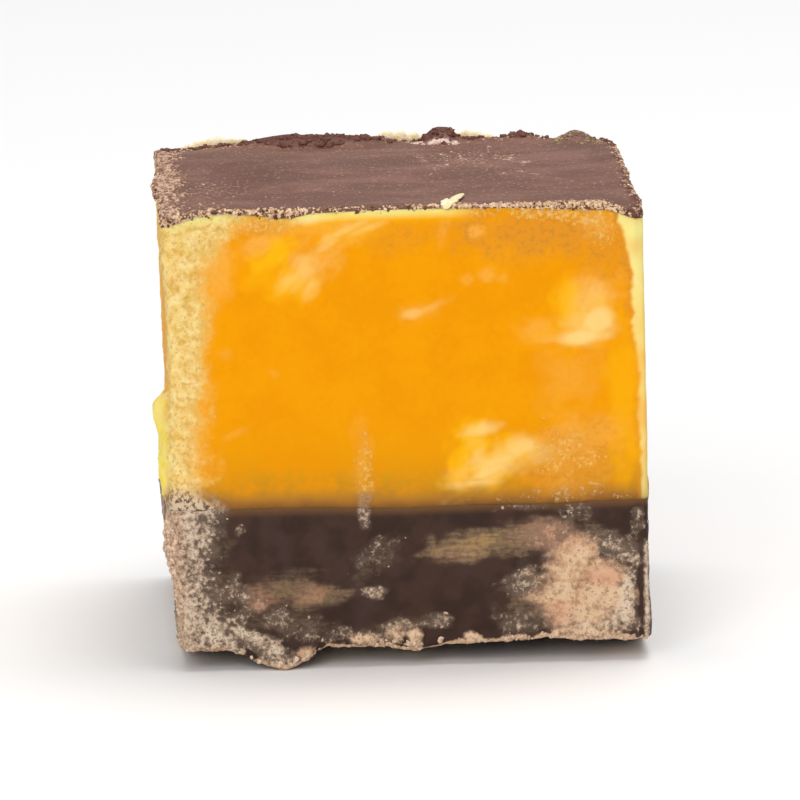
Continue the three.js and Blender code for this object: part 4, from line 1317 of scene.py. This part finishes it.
def unit_ball():
    """A ball of two poles with rings of points between them: its points, its quads and triangles, and
    the place of each of their corners on the ball unrolled to a unit square."""
    ring, spoke = np.mgrid[1:BALL_RINGS + 1, 0:BALL_SPOKES]
    tilt, spin = np.pi * ring / (BALL_RINGS + 1), 2 * np.pi * spoke / BALL_SPOKES
    rings = np.stack([np.sin(tilt) * np.cos(spin), np.sin(tilt) * np.sin(spin), -np.cos(tilt)], axis=-1)
    points = np.concatenate([[[0, 0, -1]], rings.reshape(-1, 3), [[0, 0, 1]]])
    ids = 1 + np.arange(BALL_RINGS * BALL_SPOKES).reshape(BALL_RINGS, BALL_SPOKES)
    low_pole, high_pole = np.array([0]), np.array([len(points) - 1])
    quads = wall_faces(ids).reshape(-1, 4)
    low_fan, high_fan = ring_faces(ids[0], low_pole)[0], ring_faces(ids[-1], high_pole)[0]
    triangles = np.concatenate([low_fan[:, ::-1], high_fan])
    across, up = spoke[:-1] / BALL_SPOKES, ring[:-1] / (BALL_RINGS + 1)
    step, rise = 1 / BALL_SPOKES, 1 / (BALL_RINGS + 1)
    corners = ((across, up), (across + step, up), (across + step, up + rise), (across, up + rise))
    first = np.arange(BALL_SPOKES) / BALL_SPOKES
    level = 0 * first
    low = ((first + step / 2, level), (first + step, level + rise), (first, level + rise))
    high = ((first, level + 1 - rise), (first + step, level + 1 - rise), (first + step / 2, level + 1))
    triangle_places = np.concatenate([corner_places(low), corner_places(high)])
    return points, ((quads, corner_places(corners).reshape(-1, 4, 2)), (triangles, triangle_places))


CRUMB_UNEVEN = (0.55, 1.3)  # least and most share of its radius at a crumb's points
CRUMB_DRAWN_OUT = (0.9, 1.7)
CRUMB_PRESSED = 0.8
CRUMB_SUNK = 0.2  # how far its middle is under the surface, in radii
CELL_MARGIN = 0.04  # of each crumb's cell on the texture map


def crumbs(name, material, slot, spots, facing, radii, draw):
    """Many crumbs as one piece: balls with uneven radii, drawn out along a random direction,
    pressed along the surface's facing and sunk a little way into the surface at the spots."""
    rng = np.random.default_rng(draw)
    ball, parts = unit_ball()
    count = len(spots)
    any_way = rng.normal(size=(count, 3))
    along = np.cross(facing, any_way)
    along /= np.linalg.norm(along, axis=1, keepdims=True)
    beside = np.cross(facing, along)
    uneven = rng.uniform(*CRUMB_UNEVEN, (count, len(ball), 1))
    shape = ball * uneven * radii[:, None, None]
    drawn_out = rng.uniform(*CRUMB_DRAWN_OUT, (count, 1, 1))
    sunk = spots - CRUMB_SUNK * radii[:, None] * facing
    placed = sunk[:, None] + CRUMB_PRESSED * shape[..., 2:] * facing[:, None]
    placed = placed + drawn_out * shape[..., :1] * along[:, None] + shape[..., 1:2] * beside[:, None]
    shell = Shell(())
    first = shell.add_points(placed, {})[:, 0]
    cells = math.ceil(math.sqrt(count))
    cell = np.stack([np.arange(count) % cells, np.arange(count) // cells], axis=-1)
    for ids, places in parts:
        every = (ids[None] + first[:, None, None]).reshape(-1, ids.shape[1])
        spread = (cell[:, None, None] + mix(CELL_MARGIN, 1 - CELL_MARGIN, places[None])) / cells
        shell.add_faces(every, spread.reshape(-1, ids.shape[1], 2))
    return shell.make(name, material, None)


def scatter(grid, weight, count, draw):
    """Random places on the wall's grid and the wall's facing there: each quad's chance is its area
    times its weight."""
    rng = np.random.default_rng(draw)
    low, right = grid[:-1], np.roll(grid, -1, axis=1)[:-1]
    across, up = right - low, grid[1:] - low
    area = np.linalg.norm(np.cross(across, up), axis=-1)
    chance = (area * weight[:-1]).ravel()
    picked = rng.choice(chance.size, count, p=chance / chance.sum())
    share = rng.random((2, count, 1))
    parts = (low, across, up, outward(grid)[:-1])
    low, across, up, facing = (part.reshape(-1, 3)[picked] for part in parts)
    return low + share[0] * across + share[1] * up, facing


def scatter_on_top(cover, tries, count, draw):
    """Random places on the skin's top, all facing up. The tries, so many for each place wanted, are
    spread evenly, and each is kept by the chance that the cover gives, until there are enough."""
    rng = np.random.default_rng(draw)
    x, y = rng.uniform(-1, 1, (2, tries * count)) * np.array([[HALF_WIDTH], [HALF_DEPTH]])
    kept = rng.random(len(x)) < cover(x, y)
    x, y = x[kept][:count], y[kept][:count]
    spots = stand_out(x, y, skin_top_height(x, y), 1.0, TOP_ROUND)
    spots[:, 2] += top_relief(spots[:, 0], spots[:, 1], rim_cover(spots[:, 0], spots[:, 1]))
    return spots, np.broadcast_to((0.0, 0.0, 1.0), spots.shape)


RARITY = 2.5  # the power that makes large crumbs rare


def crumb_radii(count, least, most, draw):
    """Radii between two bounds, small ones far commoner than large ones."""
    return least + (most - least) * np.random.default_rng(draw).random(count) ** RARITY


# How many pale and how many dark crumbs lie along the skin's front edge, at some x.
RIM_PLACES = (-16.0, -12.5, -11.8, -7.5, -6.8, -5.0, 0.0, 2.0, 4.0, 14.0, 15.0, 16.0)
RIM_PALE = (0.30, 0.25, 0.80, 0.80, 0.30, 0.25, 0.25, 0.60, 1.00, 0.90, 0.20, 0.10)
RIM_DARK = (0.60, 0.50, 0.80, 0.80, 0.20, 0.50, 0.50, 0.15, 0.20, 0.20, 0.90, 0.60)


def rim_weight(grid, cover, middle, reach):
    """How many crumbs lie round a height above the skin's lower edge: on the front by the cover over
    x, and fewer on the other sides."""
    edge = grid[BASE_ROWS + ORANGE_ROWS, :, 2]
    near_edge = hump(grid[..., 2], edge + middle, reach)
    along_front = np.interp(grid[..., 0], RIM_PLACES, cover) * on_front(grid[..., 1])
    return near_edge * np.maximum(along_front, 0.12)


def foot_weight(grid):
    """How many crumbs hang along the front's foot, more of them on the heaps and round the burr, and up
    the base's left front edge."""
    x, y, z = grid[..., 0], grid[..., 1], grid[..., 2]
    near_foot = hump(z - z[:1], 0.2, 0.5)
    heaped = painted(FOOT_HEAPS, x, z, FOOT_DRAW) + 0.5 * hump(x, -8.4, 3.6)
    along_foot = near_foot * on_front(y) * (0.3 + heaped) * clamp01(0.5 + lumps(x, 0, 0, 0.9, 574))
    left_edge = ease(x, -15.5, -15.9) * ease(y, -11.0, -13.5) * ease(z, BASE_HEIGHT, BASE_HEIGHT - 1)
    return np.maximum(along_foot, 0.3 * left_edge)


# Each kind's pale and deep colours, the size of its mottling, how many there are, the least and most
# radius, and the draws for the places, the radii and the shapes.
Kind = namedtuple("Kind", "piece finish slot pale deep mottling count radii draws")
KINDS = (
    Kind("beige_crumbs", "beige_crumb", "dark_fudge", (202, 178, 152), (160, 136, 114), 0.25,
         1000, (0.05, 0.14), (501, 502, 503)),
    Kind("rosy_crumbs", "rosy_crumb", "dark_fudge", (218, 182, 150), (188, 150, 122), 0.25,
         600, (0.05, 0.14), (511, 512, 513)),
    Kind("yellow_crumbs", "yellow_crumb", "orange_fudge", (244, 194, 106), (236, 172, 76), 0.3,
         560, (0.04, 0.10), (521, 522, 523)),
    Kind("foot_crumbs", "foot_crumb", "dark_fudge", (236, 206, 178), (194, 158, 130), 0.3,
         640, (0.05, 0.22), (571, 572, 573)),
    Kind("chocolate_crumbs", "chocolate_crumb", "chocolate_skin", (122, 82, 58), (88, 54, 36), 0.3,
         300, (0.06, 0.17), (531, 532, 533)),
    Kind("rim_crumbs", "rim_crumb", "chocolate_skin", (236, 204, 166), (206, 166, 126), 0.3,
         1200, (0.05, 0.15), (541, 542, 543)),
    Kind("top_crumbs", "top_crumb", "chocolate_skin", (214, 180, 156), (168, 130, 110), 0.3,
         900, (0.04, 0.16), (551, 552, 553)),
    Kind("pale_heap", "pale_crumb", "chocolate_skin", (238, 214, 198), (208, 176, 158), 0.3,
         60, (0.07, 0.20), (554, 555, 559)),
    Kind("back_crumbs", "rust_crumb", "chocolate_skin", (112, 66, 50), (92, 52, 40), 0.4,
         420, (0.06, 0.32), (556, 557, 558)),
    Kind("corner_crumbs", "khaki_crumb", "chocolate_skin", (168, 144, 110), (118, 92, 66), 0.3,
         220, (0.06, 0.22), (561, 562, 563)),
)


def wall_weights(grid, marks):
    """Where each kind of crumb lies on the walls, by the marks and the height."""
    above, frost, rosy = marks["above_seam"], marks["frost"], marks["rosy"]
    clear_of_floor = ease(grid[..., 2], 0.15, 0.4)
    base = ease(above, 0.1, -0.2) * clear_of_floor
    orange = ease(above, 1.2, 2.0) * ease(grid[..., 2], 31.2, 30.8)
    return {
        "beige_crumbs": base * frost**3 * clamp01(1 - 1.6 * rosy),
        "rosy_crumbs": base * frost**3 * rosy,
        "yellow_crumbs": orange * np.maximum(0.6 * frost, marks["grain"]) ** 2,
        "foot_crumbs": foot_weight(grid) * clear_of_floor,
        "chocolate_crumbs": rim_weight(grid, RIM_DARK, 0.2, 0.5),
        "rim_crumbs": rim_weight(grid, RIM_PALE, 0.24, 0.5),
    }


def top_cover(x, y):
    """The crumbly places of the skin's top, and few crumbs among its flecks."""
    return np.maximum(0.9 * rim_cover(x, y) ** 2.5, 0.3 * painted(TOP_FLECKS, x, y, FLECK_DRAW) ** 3)


def heap_cover(x, y):
    """The row of pale crumbs before the back edge's highest lump."""
    return painted(PALE_HEAP, x, y, HEAP_DRAW) ** 1.5


def back_cover(x, y):
    """The back edge, where the skin is redder."""
    return ease(rim_rust(x, y), 0.5, 1.0) * ease(y, BACK_Y - 4.0, BACK_Y - 2.0)


def corner_cover(x, y):
    """The back right corner."""
    return ease(x, 11.0, 13.0) * ease(y, BACK_Y - 3.5, BACK_Y - 2.0)


# For the kinds on the skin's top: where they lie, and how many tries each place wanted is given.
TOP_COVERS = {
    "top_crumbs": (top_cover, 40), "pale_heap": (heap_cover, 1000),
    "back_crumbs": (back_cover, 40), "corner_crumbs": (corner_cover, 40),
}


def build_crumbs(grid, marks):
    weights = wall_weights(grid, marks)
    for kind in KINDS:
        place_draw, radius_draw, shape_draw = kind.draws
        if kind.piece in weights:
            spots, facing = scatter(grid, weights[kind.piece], kind.count, place_draw)
        else:
            spots, facing = scatter_on_top(*TOP_COVERS[kind.piece], kind.count, place_draw)
        finish = crumb_finish(kind.finish, paint(*kind.pale), paint(*kind.deep), kind.mottling)
        radii = crumb_radii(len(spots), *kind.radii, radius_draw)
        crumbs(kind.piece, finish, kind.slot, spots, facing, radii, shape_draw)


STRAND_SPOKES, STRAND_STEPS = 8, 36
STRAND_BLUNTNESS = 0.4  # the power of the sine that narrows it: the lower, the blunter its ends
STRAND_LOW, STRAND_HIGH = 0.02, 0.96  # what its places fill of their region


def add_strand(shell, path, wide, high, ragged, draw, region):
    """An oval profile carried along a smooth path and narrowing to a point at both ends. Its half
    width and half height are scaled by a power of the sine of its share of half a turn, and by coarse
    and fine lumps. Its places lie in the region (u, v, width, height) of the texture map."""
    share = (np.arange(STRAND_STEPS) + 0.5) / STRAND_STEPS
    knots = np.linspace(0, 1, len(path))
    middle = np.stack([np.interp(share, knots, axis) for axis in np.array(path).T], axis=-1)
    middle[1:-1] = (middle[:-2] + 2 * middle[1:-1] + middle[2:]) / 4
    way = np.gradient(middle, axis=0)
    across = np.cross((0.0, 0.0, 1.0), way)
    across /= np.linalg.norm(across, axis=1, keepdims=True)
    full = np.sin(np.pi * share) ** STRAND_BLUNTNESS * (1 + ragged * lumps(share * 8, 0, 0, 1, draw))
    full = full * (1 + 0.4 * ragged * lumps(share * 24, 0, 0, 1, draw + 40))
    spin = 2 * np.pi * np.arange(STRAND_SPOKES) / STRAND_SPOKES
    beside = across[:, None] * (wide * full[:, None] * np.cos(spin))[..., None]
    upward = np.array([0.0, 0.0, 1.0]) * (high * full[:, None] * np.sin(spin))[..., None]
    rings = shell.add_points(middle[:, None] + beside + upward, {})
    ends = shell.add_points(np.array([path[0], path[-1]], float), {})
    u, v = np.mgrid[0:STRAND_STEPS - 1, 0:STRAND_SPOKES]
    corners = ((u, v), (u, v + 1), (u + 1, v + 1), (u + 1, v))
    scale = np.array([1 / STRAND_STEPS, 1 / STRAND_SPOKES])
    places = (corner_places(corners) * scale).reshape(-1, 4, 2)
    spread = np.array(region[:2]) + np.array(region[2:]) * mix(STRAND_LOW, STRAND_HIGH, places)
    shell.add_faces(wall_faces(rings).reshape(-1, 4), spread)
    for ring, end, turn in ((rings[0], ends[:1], -1), (rings[-1], ends[1:], 1)):
        fan = ring_faces(ring, end)[0][:, ::turn]
        shell.add_faces(fan, shell.flat_place(fan, (*region[:2], region[2] / 2, region[3] / 2)))


# Path, half width and half height of the cream flake at the skin's front edge, and of its short prong.
FLAKE_PRONGS = (
    (((2.6, -15.3, 31.5), (2.95, -14.9, 31.78), (3.4, -13.4, 31.84), (4.1, -10.8, 31.7)), 0.37, 0.13),
    (((2.65, -15.1, 31.6), (2.65, -14.6, 31.82), (2.9, -13.0, 31.8)), 0.3, 0.1),
)
# The same of the pale fudge slivers that stand behind the skin's back edge.
BACK_SLIVERS = (
    (((-14.5, 15.05, 30.6), (-12.3, 15.15, 30.95), (-9.8, 15.1, 31.15)), 0.2, 0.46),
    (((-0.8, 15.1, 31.2), (1.0, 15.15, 31.1), (3.0, 15.1, 30.9)), 0.2, 0.42),
    (((4.4, 15.1, 31.05), (6.0, 15.15, 31.05), (7.8, 15.05, 30.75)), 0.2, 0.45),
)
# Each piece's name, its strands, how ragged they are, and the draw for its first strand.
STRAND_PIECES = (("rim_flake", FLAKE_PRONGS, 0.22, 561), ("back_slivers", BACK_SLIVERS, 0.3, 571))


def build_strands():
    cream = crumb_finish("cream_flake", paint(248, 234, 202), paint(242, 218, 164), 0.5)
    for name, strands, ragged, draw in STRAND_PIECES:
        shell = Shell(())
        for number, (path, wide, high) in enumerate(strands):
            region = (0.0, number / len(strands), 1.0, 1 / len(strands))
            add_strand(shell, path, wide, high, ragged, draw + number, region)
        shell.make(name, cream, None)


# ---- The stage: floor, light and camera ----------------------------------------------------------
FLOOR_REACH = 3.0  # metres
FLOOR_WHITE = (0.9, 0.9, 0.9, 1.0)


def add_floor():
    mesh = bpy.data.meshes.new("floor")
    corners = [(-1, -1), (1, -1), (1, 1), (-1, 1)]
    mesh.from_pydata([(FLOOR_REACH * x, FLOOR_REACH * y, 0) for x, y in corners], [], [(0, 1, 2, 3)])
    f = Finish("floor")
    f.set(Base_Color=FLOOR_WHITE, Roughness=0.9)
    mesh.materials.append(f.material)
    floor = put_in_scene("floor", mesh)


# Each soft light's name, place in metres and power in watts.
LIGHTS = (("front_soft", (-0.25, -0.75, 0.45), 3.75), ("over_soft", (0.1, 0.1, 0.8), 5.2))
LIGHT_SIZE = 0.6
SKY_STRENGTH = 0.34


def add_light(name, place, power):
    """A square soft light that faces the cube."""
    light = bpy.data.lights.new(name, "AREA")
    light.size = LIGHT_SIZE
    light.energy = power
    lamp = put_in_scene(name, light)
    lamp.location = place
    lamp.rotation_mode = "QUATERNION"
    lamp.rotation_quaternion = (-Vector(place)).to_track_quat("-Z", "Y")


def add_lights():
    world = bpy.data.worlds.new("studio")
    world.use_nodes = True
    sky = world.node_tree.nodes["Background"].inputs
    sky["Color"].default_value = (1, 1, 1, 1)
    sky["Strength"].default_value = SKY_STRENGTH
    bpy.context.scene.world = world
    for light in LIGHTS:
        add_light(*light)
    bpy.context.scene.view_settings.view_transform = "Standard"


CAMERA_PLACE = Vector((-24.10, -616.59, 141.20))
CAMERA_AIM = Vector((0.5, 0.33, 15.3))
CAMERA_ROLL = math.radians(-1.08)
LENS, SENSOR_WIDTH = 410.0, 36.0


def add_camera():
    data = bpy.data.cameras.new("camera")
    data.lens = LENS
    data.sensor_width = SENSOR_WIDTH
    data.clip_start, data.clip_end = 0.05, 10.0
    camera = put_in_scene("camera", data)
    camera.location = CAMERA_PLACE * MM
    camera.rotation_mode = "QUATERNION"
    facing = (CAMERA_AIM - CAMERA_PLACE).to_track_quat("-Z", "Y")
    camera.rotation_quaternion = facing @ Quaternion((0, 0, 1), CAMERA_ROLL)
    bpy.context.scene.camera = camera


add_camera()
add_lights()
add_floor()
wall, wall_marks_found = build_layers()
build_crumbs(wall, wall_marks_found)
build_strands()
